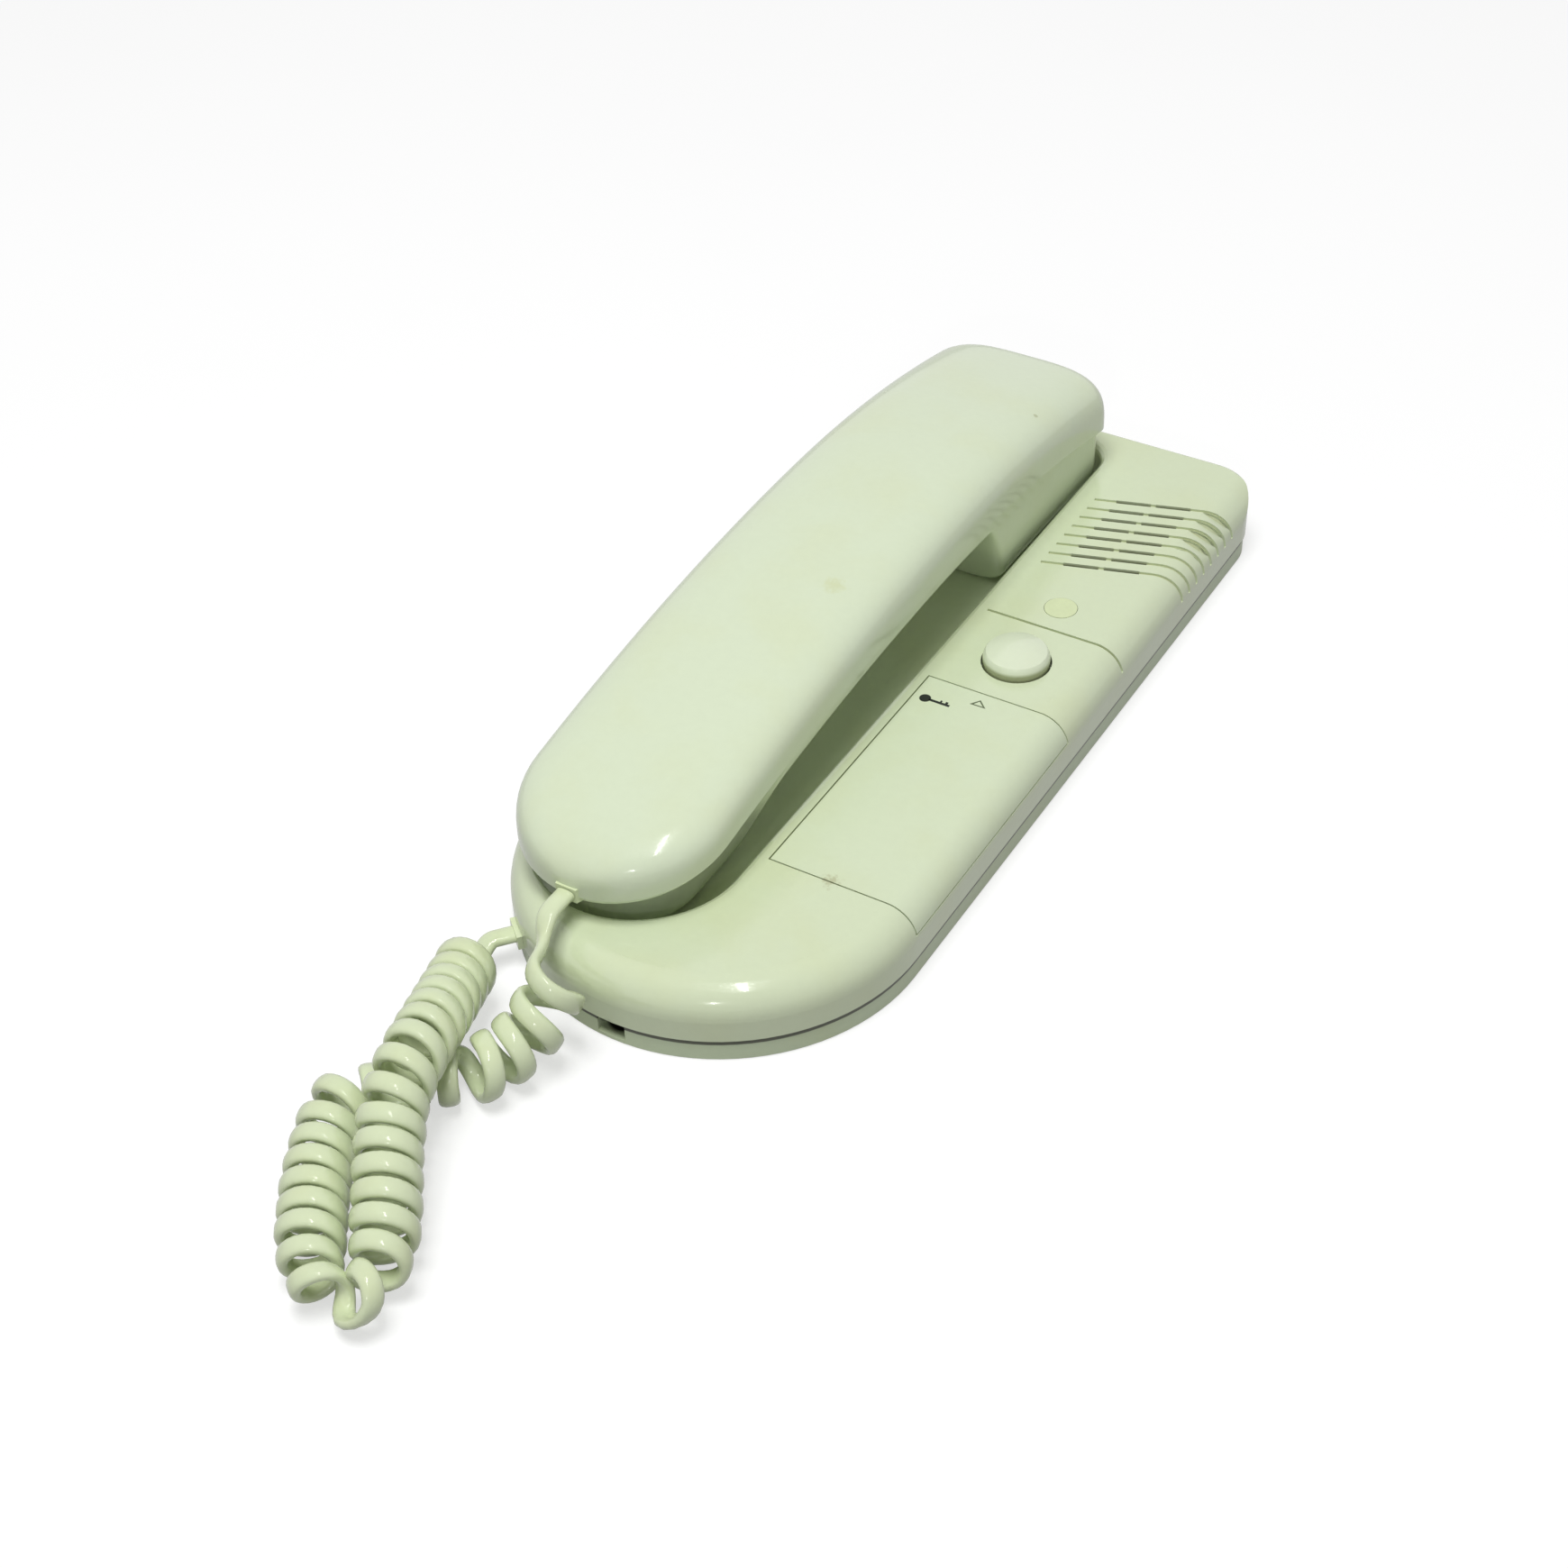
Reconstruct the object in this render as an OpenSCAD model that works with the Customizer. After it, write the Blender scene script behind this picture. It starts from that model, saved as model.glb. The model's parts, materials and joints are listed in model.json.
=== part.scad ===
// Wall door phone: a slim base with a call panel, a lift-off handset in a cradle and a curly cord.
// The part lies on its back: +Z comes out of the front panel, +Y points to the ear end,
// +X to the side of the call panel. The origin is the middle of the back face. Millimetres.

/* [Base] */
// Width of the base
base_w = 89; // [86:1:100]
// Length of the base
base_l = 220; // [218:1:240]
// Height of the front panel above the wall
base_h = 17.2; // [16.8:0.2:22]
// Height of the back cover's rim
back_h = 4.7; // [4.2:0.1:5.4]
// Gap along the seam between the two halves of the base
seam_gap = 0.5; // [0.1:0.1:0.6]
// Radius of the base's rounded front edge
edge_r = 7; // [5:0.5:8]
// Plan radius of the base's two top corners
corner_r = 12; // [10:0.5:16]
// Radius of the front edge along the base's top end
end_edge_r = 1.5; // [0.8:0.1:2]
// Wall of the front housing
wall = 2.6; // [2.2:0.1:3]
// Floor and rim thickness of the back cover
back_wall = 2; // [1.6:0.1:2.2]
// How far the back cover's rim stands in from the front housing
back_inset = 0.4; // [0:0.1:0.8]

/* [Cradle] */
// Sideways place of the cradle and the handset
cradle_x = -15.5; // [-17:0.5:-15]
// Height of the cradle floor
cradle_z = 9; // [8.4:0.1:10]
// Room between the handset's outline and the cradle's lip
cradle_gap = 0.5; // [0.3:0.1:0.8]
// How far the cradle's sides draw in from the lip to the floor
cradle_draft = 0.8; // [0.4:0.1:1.2]
// Radius of the cradle's rounded lip
cradle_lip_r = 2.2; // [1:0.1:2.4]
// How far the cradle's mouth end stands in from the handset's
cradle_set = 3; // [2:0.1:3.5]
// Thickness of the cradle's sides and floor
cradle_wall = 2; // [1.6:0.1:2.2]
// Gap under the resting handset
rest_gap = 0.3; // [0.2:0.1:0.5]

/* [Handset] */
// Width of the handset
handset_w = 46; // [44:0.5:48]
// Length of the handset
handset_l = 202; // [196:1:204]
// Place of the handset's middle along the base
handset_y = 2; // [0:0.5:3]
// Height of the crown's highest point
crown_z = 48.2; // [44:0.2:54]
// Place of the crown's highest point along the base
crown_y = 28; // [10:1:40]
// Height of the crown at the ear end
crown_ear_z = 38.5; // [34:0.5:42]
// Height of the crown at the mouth end
crown_mouth_z = 32.7; // [31:0.1:37]
// Height of the shells' parting line at its highest point
part_z = 36; // [33:0.5:38]
// Place of the parting line's highest point along the base
part_y = 20; // [5:1:35]
// Height of the parting line at the ear end
part_ear_z = 25; // [23:0.5:28]
// Height of the parting line at the mouth end
part_mouth_z = 23.5; // [23:0.5:25]
// Wall of both handset shells
shell_wall = 2; // [1.6:0.1:2.4]
// How far the outer shell stands over the inner shell
shell_step = 1; // [0.6:0.1:1.4]
// Gap along the parting line
part_gap = 0.2; // [0.1:0.1:0.4]
// Depth of the grip below the parting line
grip_depth = 6.5; // [5.5:0.5:9]
// Length of the ear cup
ear_cup_l = 52; // [44:1:60]
// Radius of the mouth cup
mouth_cup_r = 16; // [15:0.5:18]
// Plan radius of the ear end's corners
ear_corner_r = 8; // [6:0.5:12]

/* [Call panel] */
// Sideways place of the door button and the lens
button_x = 24.8; // [22:0.2:27]
// Place of the door button along the base
button_y = 16.7; // [14:0.1:19]
// Diameter of the door button
button_d = 15; // [12:0.5:16]
// Height of the door button above the panel
button_rise = 4.1; // [3:0.1:6]
// Travel of the door button
button_travel = 2; // [1:0.1:2.2]
// Running gap round the door button
button_gap = 0.4; // [0.2:0.1:0.6]
// Place of the indicator lens along the base
lens_y = 38.9; // [37:0.1:41]
// Diameter of the indicator lens
lens_d = 7.5; // [5:0.5:9]
// Side line of the name panel
panel_x = 10.5; // [10:0.1:12]
// Upper line of the button field
field_y = 30.6; // [29:0.1:32]
// Line between the button field and the name panel
panel_top_y = 2.8; // [0:0.1:5]
// Lower line of the name panel
panel_low_y = -65; // [-65.5:0.1:-50]
// Thickness of the name panel
panel_t = 1.1; // [0.8:0.1:1.3]
// Width of the open line round the name panel
line_w = 0.35; // [0.2:0.05:0.6]
// Height at which the panel lines end on the side of the base
line_z = 11.7; // [11:0.1:13]

/* [Grille] */
// Number of grille grooves
grille_n = 8; // [4:1:9]
// Distance between grooves
grille_pitch = 4.1; // [3:0.1:4.4]
// Width of a groove
grille_w = 0.9; // [0.6:0.1:1.4]
// Depth of a groove
grille_depth = 0.5; // [0.3:0.1:0.9]
// Tilt of the grooves
grille_tilt = 17; // [0:1:20]
// Place of the grille's middle along the base
grille_y = 71.3; // [69:0.1:73]
// Length of a sound slot
slot_l = 8.2; // [5:0.1:9]
// Bridge between the two slots of a groove
slot_bridge = 1.2; // [0.8:0.1:2]

/* [Wall fixing] */
// Diameter of the two wall screw holes
fix_d = 4.5; // [4:0.1:5.5]
// Distance between the wall screw holes
fix_spacing = 83.5; // [60:0.1:90]
// Width of the cable window in the back
window_w = 24; // [16:1:28]
// Length of the cable window in the back
window_l = 16; // [10:1:24]

/* [Cord] */
// Width of the flat cord
cord_w = 4.2; // [3.6:0.1:4.4]
// Thickness of the flat cord
cord_t = 2.4; // [2:0.1:2.6]
// Mean radius of the curls
curl_r = 5.5; // [5:0.1:5.6]
// Mean radius of the drawn-out curls in the fold
fold_curl_r = 4; // [3.6:0.1:4.2]
// Mean radius of the curls where one stretch passes under the other
cross_curl_r = 3.2; // [2.8:0.1:3.3]
// Gap that the winding leaves between curls
curl_gap = 0.65; // [0.4:0.05:0.8]

/* [Inside] */
// Thickness of the circuit board
board_t = 1.6; // [1.2:0.1:1.8]
// Height of the board posts above the back cover's floor
post_h = 2.4; // [2:0.1:2.6]
// Diameter of the call speaker
speaker_d = 24; // [20:0.5:26]
// Diameter of the ear capsule
receiver_d = 28; // [24:0.5:29]
// Diameter of the microphone capsule
mic_d = 9.7; // [6:0.1:10]
// Travel of the hook plunger
hook_travel = 3; // [2:0.1:3]
// Diameter of the hook plunger
hook_d = 9; // [8:0.5:10]

/* [Hidden] */
$fn = 64;

// Colours
ivory = [0.86, 0.88, 0.74];
steel = [0.72, 0.73, 0.75];
dark = [0.14, 0.14, 0.15];

// Base form
arc_y = -base_l / 2 + base_w / 2;
corner_y = base_l / 2 - corner_r;
housing_low = back_h + seam_gap;
end_edge_least = 0.3;
panel_under = base_h - wall;
eps = 0.01;
over = 1;

// Lip that centres the front housing on the back cover
lip_t = 1.2;
lip_h = 1.8;
lip_gap = 0.25;

// Latch at the bottom end and the slot that frees it
latch_w = 5;
latch_t = 1.2;
latch_drop = 3;
latch_slot_w = 6.4;
latch_floor = 0.9;

// Handset plan
half_w = handset_w / 2;
ear_y = handset_y + handset_l / 2;
low_y = handset_y - handset_l / 2;
mouth_y = low_y + half_w;
ear_start_y = ear_y - ear_corner_r;
ear_cup_y = ear_y - ear_cup_l;
mouth_cup_y = mouth_y + mouth_cup_r;
cup_blend = 10;
cup_z = cradle_z + rest_gap;
flange_t = 1.6;
flange_edge = 0.4;
section_n = 17;
crown_power = 3.6;
crown_end_power = 5;
hull_power = 7;
end_power = 6;
mouth_angle = 6;
mouth_steps = 7;
ear_steps = 6;

// Cradle plan
cradle_half = half_w - shell_step - 2 * flange_edge + cradle_gap;
cradle_mouth_y = mouth_y + cradle_set;
cradle_end_y = ear_y - shell_step + 2.5 * cradle_gap;
cradle_corner_r = ear_corner_r - shell_step + cradle_gap;
lip_facets = 3;
lip_overlap = 1;

// Circuit board
board_z = back_wall + post_h;
board_top = board_z + board_t;
board_x0 = panel_x + 0.5;
board_x1 = base_w / 2 - wall - lip_gap - lip_t - 0.6;
board_y0 = panel_low_y + 3;
board_y1 = lens_y + 10;
board_inset = 3.5;
post_d = 6;
board_screw_d = 2;
board_head_d = 4;
board_head_h = 1.5;
board_spots = [for (x = [board_x0 + board_inset, board_x1 - board_inset])
    for (y = [board_y0 + board_inset, board_y1 - board_inset]) [x, y]];

// Grille grooves run from beside the cradle over the rounded edge
groove_reach = 14;
groove_low = 10.3;
slot_w = grille_w + 0.3;
panel_seat = 0.1;

// Call speaker
speaker_x = (panel_x + base_w / 2 - edge_r) / 2;
grille_x = (panel_x + base_w / 2 - wall) / 2;
speaker_rim_t = 1.2;
speaker_rim_w = 2.6;
speaker_room = 0.1;
speaker_h = 5;
basket_in = 5;
basket_t = 0.8;
basket_slant = 0.6;
cone_in = 1.3;
cone_t = 0.6;
cone_low = 1.1;
cone_sink = 0.9;
dust_r = 3.4;
dust_rise = 0.5;
magnet_hold = 2;
rim_inner_r = speaker_d / 2 - speaker_rim_w;
magnet_d = 14;
magnet_h = 3.6;
rib_t = 1.2;
rib_gap = 0.3;
clamp_d = 7;
clamp_h = 1.4;
clamp_hold = 0.6;
clamp_spots = [for (s = [-1, 1]) [speaker_x, grille_y + s * (speaker_d / 2 - clamp_hold + clamp_d / 2)]];

// Hook plunger, its spring and switch
hook_x = cradle_x + 8;
hook_y = 72;
hook_gap = 0.3;
hook_top = cup_z - 0.2;
hook_flange_d = hook_d + 3;
hook_flange_t = 1.2;
hook_bore_d = hook_d - 2.4;
hook_roof = 1.5;
hook_low = cradle_z - cradle_wall - hook_travel - hook_flange_t - 0.2;
hook_spring_wire = 0.6;
hook_spring_r = hook_bore_d / 2 - hook_spring_wire / 2 - 0.4;
hook_pin_d = 2 * hook_spring_r - hook_spring_wire - 0.6;
hook_pin_h = 2.5;
hook_switch_gap = 0.5;
hook_switch_l = 10;
hook_switch_w = 7;
hook_switch_h = 3;
blade_l = 2.5;
blade_w = 3;
blade_t = min(0.3, hook_low - back_wall - 0.1);

// Door button, its spring and switch
button_top = base_h + button_rise;
button_edge_r = 3.2;
button_dome_r = 20;
button_flange = 1.7;
button_flange_t = 1.4;
button_skirt = 1.5;
button_low = panel_under - 0.3 - button_flange_t;
button_roof = 3.8;
button_spring_wire = 0.7;
button_spring_r = button_d / 2 - button_skirt - button_spring_wire / 2 - 1.4;
switch_w = 12;
switch_h = 3;
nib_d = 3;
nib_h = 0.8;
stem_d = 4;
stem_low = board_top + switch_h + nib_h + button_travel + 0.2;

// Capsules
capsule_gap = 0.4;
capsule_z = cup_z + shell_wall + capsule_gap;
receiver_y = (ear_cup_y + ear_y) / 2 - 1;
gasket_t = 1;
receiver_h = 8;
mic_h = 6.7;
boot_wall = 2;
sound_d = 2;

// Screws that close the handset
grip_screw_y = 18;
grip_screw_gap = 48;
grip_screw_bite = 3;
grip_screw_ys = [grip_screw_y, grip_screw_y - grip_screw_gap];
grip_screw_d = 2.2;
grip_head_d = 5.2;
grip_head_h = 1.8;
grip_head_sink = 0.5;
grip_boss_d = 8.4;
grip_boss_h = 4.6;
grip_boss_step = 1.4;
screw_gap = 0.1;

// Axis of the curls, from the base's side to the handset's side
cord_route = [
    [-30.9, -113.3, 9.5], [-28.5, -120.9, 11], [-25.2, -129.4, 13.7], [-22, -138.3, 16.2],
    [-19.7, -145.6, 17.4], [-17.8, -151.7, 17], [-15.9, -156.7, 15.8], [-13.5, -161, 14.4],
    [-10.9, -165.3, 13.2], [-8.1, -169.4, 12], [-5.5, -173.3, 10.8], [-3, -177.4, 9.6],
    [-0.5, -181.9, 8.6], [0.6, -187.2, 8], [-1.8, -191.7, 7.6], [-7.4, -191, 7.2],
    [-13.5, -185.9, 7], [-18.6, -179.1, 7], [-23.4, -172, 7], [-27.7, -164, 7],
    [-30.7, -156.6, 7.2], [-31.3, -149.8, 6.5], [-28.1, -144.4, 4.8], [-22.4, -140.9, 4.8],
    [-17.7, -138.4, 5.8], [-14.2, -135.3, 7.1], [-11.9, -131.2, 7.6], [-10.2, -127, 8.6],
    [-8.9, -123.3, 10.4], [-8, -120, 13], [-7.4, -117.1, 16.2], [-6.7, -114.9, 19.6]];
fold_spot = 14;
fold_reach = [6, 12];
cross_spot = 22.5;
cross_reach = [5, 9];
end_stretch = 2.4;
end_stretch_l = 16;
first_turn = 60;
curl_rings = 8;
route_steps = 10;
bend_span = 8;

// Leads from the curls to the two reliefs: ends, directions there, and how far each end pulls its curve
base_relief_turn = 229.33;
base_relief_out = 1;
base_relief_z = 6.8;
base_relief_reach = base_w / 2 + base_relief_out;
handset_relief_out = 0.4;
handset_relief_rise = 0.5;
relief_lip = 0.3;
relief_taper = 2;
start_dir = [cos(base_relief_turn), sin(base_relief_turn), 0];
end_dir = [0, 1, 0];
cord_start = [0, arc_y, base_relief_z] + base_relief_reach * start_dir;
cord_end = [cradle_x, low_y - handset_relief_out, part_mouth_z + handset_relief_rise];
start_pull = [10, 14];
end_pull = [26, 16];
lead_rings = 10;
cord_end_gap = 0.15;

// Cord reliefs
relief_w = 6.2;
relief_h = 3.4;
relief_gap = 0.1;
relief_collar = 1.4;
relief_collar_t = 1.2;
relief_seat = 0.3;
handset_relief_l = 8;

// Maths helpers
function unit(v) = v / norm(v);
function smooth(t) = let (u = min(max(t, 0), 1)) u * u * (3 - 2 * u);
function mix(a, b, t) = a + (b - a) * t;
function bowed(v, power) = sign(v) * pow(abs(v), 2 / power);

// Height of an arched line along the handset, from its highest point to its two ends
function arch(y, top_y, top_z, ear_z, mouth_z) = y > top_y
    ? top_z - (top_z - ear_z) * pow((y - top_y) / (ear_y - top_y), 2)
    : top_z - (top_z - mouth_z) * pow((top_y - y) / (top_y - low_y), 2);
function part_line(y) = arch(y, part_y, part_z, part_ear_z, part_mouth_z);
function crown_line(y) = arch(y, crown_y, crown_z, crown_ear_z, crown_mouth_z);

// Share of the cups' depth at a place along the handset
function ear_share(y) = smooth((y - ear_cup_y + cup_blend) / cup_blend);
function mouth_share(y) = smooth((mouth_cup_y + cup_blend - y) / cup_blend);
function under_line(y) = mix(part_line(y) - grip_depth, cup_z, max(ear_share(y), mouth_share(y)));

// Places along the handset where its section is drawn: [place, half width, rounding at the end]
body_ys = concat(
    [for (i = [0:2]) mouth_y + mouth_cup_r * i / 3],
    [for (i = [0:5]) mouth_cup_y + cup_blend * i / 5],
    [for (i = [1:6]) mix(mouth_cup_y + cup_blend, ear_cup_y - cup_blend, i / 7)],
    [for (i = [0:5]) ear_cup_y - cup_blend + cup_blend * i / 5],
    [for (i = [1:4]) mix(ear_cup_y, ear_start_y, i / 4)]);
function rounding(reach, power) = pow(max(1 - pow(reach, power), 0), 1 / power);
function mouth_station(angle, inset) =
    [mouth_y - (half_w - inset) * cos(angle), (half_w - inset) * sin(angle),
        rounding(cos(angle), crown_power)];
function ear_station(angle, inset, power) =
    [ear_start_y + (ear_corner_r - inset) * sin(angle),
     half_w - ear_corner_r + (ear_corner_r - inset) * cos(angle), rounding(sin(angle), power)];
function stations(inset, power) = concat(
    [[mouth_station(mouth_angle, inset)[0], mouth_station(mouth_angle, inset)[1], 0]],
    [for (i = [0:mouth_steps - 1]) mouth_station(mix(mouth_angle, 90, i / mouth_steps), inset)],
    [for (y = body_ys) [y, half_w - inset, 1]],
    [for (i = [1:ear_steps]) ear_station(90 * i / ear_steps, inset, power)]);

// Sections of the outer shell
function crown_section(s, thin) =
    let (y = s[0], z = part_line(y), rise = max((crown_line(y) - z) * s[2] - thin, 0))
    [for (i = [0:section_n - 1]) let (a = 180 * i / (section_n - 1))
        [cradle_x + s[1] * bowed(cos(a), crown_power), y, z + rise * bowed(sin(a), crown_power)]];

// Half width of the inner shell's body, which is narrower at the mouth cup
function hull_half(y, half, inset) =
    let (mouth_half = y < mouth_y ? sqrt(max(pow(mouth_cup_r - inset, 2) - pow(y - mouth_y, 2), 1))
        : mouth_cup_r - inset)
    min(mix(half, mouth_half, mouth_share(y)), half);
function hull_depth(s, inset) =
    let (y = s[0], open = y < mouth_y - mouth_cup_r + inset ? 0 : s[2] == 0 ? 0 : y < mouth_y ? 1 : s[2])
    (part_line(y) - under_line(y)) * open;
function hull_outer_section(s) =
    let (y = s[0], z = part_line(y) - part_gap, edge = s[2] == 0 ? 0 : flange_t,
        half = hull_half(y, s[1] - 2 * flange_edge, 0), depth = max(hull_depth(s, 0), edge),
        n = section_n - 4)
    concat([[cradle_x + s[1], y, z], [cradle_x + s[1] - flange_edge, y, z - edge]],
        [for (i = [0:n - 1]) let (a = 180 * i / (n - 1))
            [cradle_x + half * bowed(cos(a), hull_power), y,
                z - edge - (depth - edge) * bowed(sin(a), hull_power)]],
        [[cradle_x - s[1] + flange_edge, y, z - edge], [cradle_x - s[1], y, z]]);
function hull_inner_section(s) =
    let (y = s[0], z = part_line(y) - part_gap, half = hull_half(y, s[1], shell_wall),
        depth = max(hull_depth(s, shell_wall) - shell_wall, 0))
    [for (i = [0:section_n - 1]) let (a = 180 * i / (section_n - 1))
        [cradle_x + half * bowed(cos(a), hull_power), y, z - depth * bowed(sin(a), hull_power)]];

// Closed wall between two grids of sections that have the same counts
module wall_between(front, back) {
    rows = len(front);
    cols = len(front[0]);
    shift = rows * cols;
    function at(i, j) = i * cols + j;
    points = concat([for (row = front) for (p = row) p], [for (row = back) for (p = row) p]);
    faces = concat(
        [for (i = [0:rows - 2]) for (j = [0:cols - 2]) each
            [[at(i, j), at(i, j + 1), at(i + 1, j + 1)], [at(i, j), at(i + 1, j + 1), at(i + 1, j)],
             [shift + at(i, j), shift + at(i + 1, j + 1), shift + at(i, j + 1)],
             [shift + at(i, j), shift + at(i + 1, j), shift + at(i + 1, j + 1)]]],
        [for (i = [0:rows - 2]) each
            [[at(i, 0), at(i + 1, 0), shift + at(i + 1, 0)],
                [at(i, 0), shift + at(i + 1, 0), shift + at(i, 0)],
             [at(i, cols - 1), shift + at(i + 1, cols - 1), at(i + 1, cols - 1)],
             [at(i, cols - 1), shift + at(i, cols - 1), shift + at(i + 1, cols - 1)]]],
        [for (j = [0:cols - 2]) each
            [[at(0, j), shift + at(0, j + 1), at(0, j + 1)],
                [at(0, j), shift + at(0, j), shift + at(0, j + 1)],
             [at(rows - 1, j), at(rows - 1, j + 1), shift + at(rows - 1, j + 1)],
             [at(rows - 1, j), shift + at(rows - 1, j + 1), shift + at(rows - 1, j)]]]);
    polyhedron(points, faces);
}

// Closed tube through rings of points
module tube(rings) {
    n = len(rings);
    m = len(rings[0]);
    points = [for (r = rings) for (p = r) p];
    faces = concat(
        [for (i = [0:n - 2]) for (j = [0:m - 1]) let (k = (j + 1) % m) each
            [[i * m + j, (i + 1) * m + k, (i + 1) * m + j], [i * m + j, i * m + k, (i + 1) * m + k]]],
        [for (j = [1:m - 2]) [0, j + 1, j]],
        [for (j = [1:m - 2]) let (b = (n - 1) * m) [b, b + j, b + j + 1]]);
    polyhedron(points, faces);
}

// Rings of six points for a strand: places, directions away from the curl's axis, width and thickness
function strand_rings(places, outward, width, thick) =
    let (n = len(places))
    [for (i = [0:n - 1])
        let (along = unit(places[min(i + 1, n - 1)] - places[max(i - 1, 0)]),
            up = unit(outward[i] - (outward[i] * along) * along), side = cross(along, up))
        [for (c = [[1, 0], [0.62, 1], [-0.62, 1], [-1, 0], [-0.62, -1], [0.62, -1]])
            places[i] + side * c[0] * width / 2 + up * c[1] * thick / 2]];

// Least distance between ring points that lie at least half a curl apart
function ring_gap(a, b) = min([for (p = a) for (q = b) norm(p - q)]);
function least_gap(rings, near) =
    let (n = len(rings), middles = [for (r = rings) (r[0] + r[3]) / 2])
    min([for (i = [0:n - 1]) for (j = [i + 5:1:n - 1])
        if (norm(middles[i] - middles[j]) < near) ring_gap(rings[i], rings[j])]);

// Smooth axis through the route's points
function spline(p0, p1, p2, p3, t) = 0.5 * (2 * p1 + (p2 - p0) * t + (2 * p0 - 5 * p1 + 4 * p2 - p3) * t * t
    + (3 * p1 - p0 - 3 * p2 + p3) * t * t * t);
function smooth_axis(route, steps) =
    let (n = len(route), p = concat([2 * route[0] - route[1]], route, [2 * route[n - 1] - route[n - 2]]))
    concat([for (i = [1:n - 1]) for (k = [0:steps - 1])
        spline(p[i - 1], p[i], p[i + 1], p[i + 2], k / steps)],
        [route[n - 1]]);

// Curly cord worked out along its axis
axis = smooth_axis(cord_route, route_steps);
axis_n = len(axis);
axis_s = [for (i = 0, s = 0; i < axis_n;
    s = s + (i + 1 < axis_n ? norm(axis[i + 1] - axis[i]) : 0), i = i + 1) s];
axis_l = axis_s[axis_n - 1];
axis_dir = [for (i = [0:axis_n - 1]) unit(axis[min(i + 1, axis_n - 1)] - axis[max(i - 1, 0)])];
axis_bend = [for (i = [0:axis_n - 1]) let (a = max(i - bend_span, 0), b = min(i + bend_span, axis_n - 1))
    norm(axis_dir[b] - axis_dir[a]) / (axis_s[b] - axis_s[a])];
axis_side = [for (i = 0, v = unit(cross(axis_dir[0], [0, 0, 1])); i < axis_n;
    i = i + 1, v = i < axis_n ? unit(v - (v * axis_dir[i]) * axis_dir[i]) : v) v];
function span_of(s) = len([for (v = axis_s) if (v <= s + eps / 10) 1]) - 1;
function axis_at(values, s) =
    let (i = min(span_of(s), axis_n - 2), t = (s - axis_s[i]) / (axis_s[i + 1] - axis_s[i]))
    mix(values[i], values[i + 1], t);
function drawn_in(s, spot, radius, reach) =
    mix(radius, curl_r, smooth((abs(s - axis_s[spot * route_steps]) - reach[0]) / reach[1]));
function curl_at(s) =
    min(drawn_in(s, fold_spot, fold_curl_r, fold_reach), drawn_in(s, cross_spot, cross_curl_r, cross_reach));
function pitch_at(s) = cord_w + curl_gap + end_stretch * smooth(1 - (axis_l - s) / end_stretch_l);
function step_at(s) = pitch_at(s) / max(0.25, 1 - curl_at(s) * axis_at(axis_bend, s)) / curl_rings;
curl_steps = [for (s = 0, turn = first_turn; s < axis_l; turn = turn - 360 / curl_rings, s = s + step_at(s))
    [s, turn]];
curl_outward = [for (c = curl_steps)
    let (d = unit(axis_at(axis_dir, c[0])), raw = axis_at(axis_side, c[0]), side = unit(raw - (raw * d) * d))
    side * cos(c[1]) + cross(d, side) * sin(c[1])];
curl_points = [for (i = [0:len(curl_steps) - 1])
    axis_at(axis, curl_steps[i][0]) + curl_outward[i] * curl_at(curl_steps[i][0])];
curl_last = len(curl_points) - 1;

// Each lead bends from a curl and runs straight into its relief
function bend(p0, d0, p1, d1, t) = (2 * t * t * t - 3 * t * t + 1) * p0 + (t * t * t - 2 * t * t + t) * d0
    + (3 * t * t - 2 * t * t * t) * p1 + (t * t * t - t * t) * d1;
first_dir = unit(curl_points[1] - curl_points[0]);
last_dir = unit(curl_points[curl_last] - curl_points[curl_last - 1]);
start_lead = [for (i = [0:lead_rings - 1]) bend(cord_start + cord_w * start_dir, start_pull[0] * start_dir,
    curl_points[0], start_pull[1] * first_dir, i / lead_rings)];
end_lead = [for (i = [1:lead_rings]) bend(curl_points[curl_last], end_pull[0] * last_dir,
    cord_end - cord_w * end_dir, end_pull[1] * end_dir, i / lead_rings)];
cord_points = concat([cord_start], start_lead, curl_points, end_lead, [cord_end - cord_end_gap * end_dir]);
up_dir = [0, 0, 1];
cord_outward = concat([up_dir],
    [for (i = [0:lead_rings - 1]) mix(up_dir, curl_outward[0], smooth(i / lead_rings))],
    curl_outward,
    [for (i = [1:lead_rings]) mix(curl_outward[curl_last], up_dir, smooth(i / lead_rings))],
    [up_dir]);

// Plan of the base, drawn in by an inset
module base_plan(inset) {
    half = base_w / 2 - inset;
    r = corner_r - inset;
    translate([0, arc_y])
        circle(half);
    translate([-half, arc_y])
        square([2 * half, corner_y - arc_y]);
    translate([-half + r, corner_y - over])
        square([2 * (half - r), r + over]);
    for (s = [-1, 1])
        translate([s * (half - r), corner_y])
            circle(r);
}

// Half section of the base's edge: flat on top, rounded at the outside
module edge_profile(reach, low, high, round_r) {
    translate([0, low])
        square([reach, high - round_r - low]);
    translate([0, low])
        square([reach - round_r, high - low]);
    translate([reach - round_r, high - round_r])
        intersection() {
            circle(round_r);
            square(round_r);
        }
}

// Length of the base's rounded side edges, from a low to a high end
module side_form(half, er, low, high, from, to) {
    translate([0, to, 0])
        rotate([90, 0, 0])
            linear_extrude(to - from) {
                edge_profile(half, low, high, er);
                mirror([1, 0])
                    edge_profile(half, low, high, er);
            }
}

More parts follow.
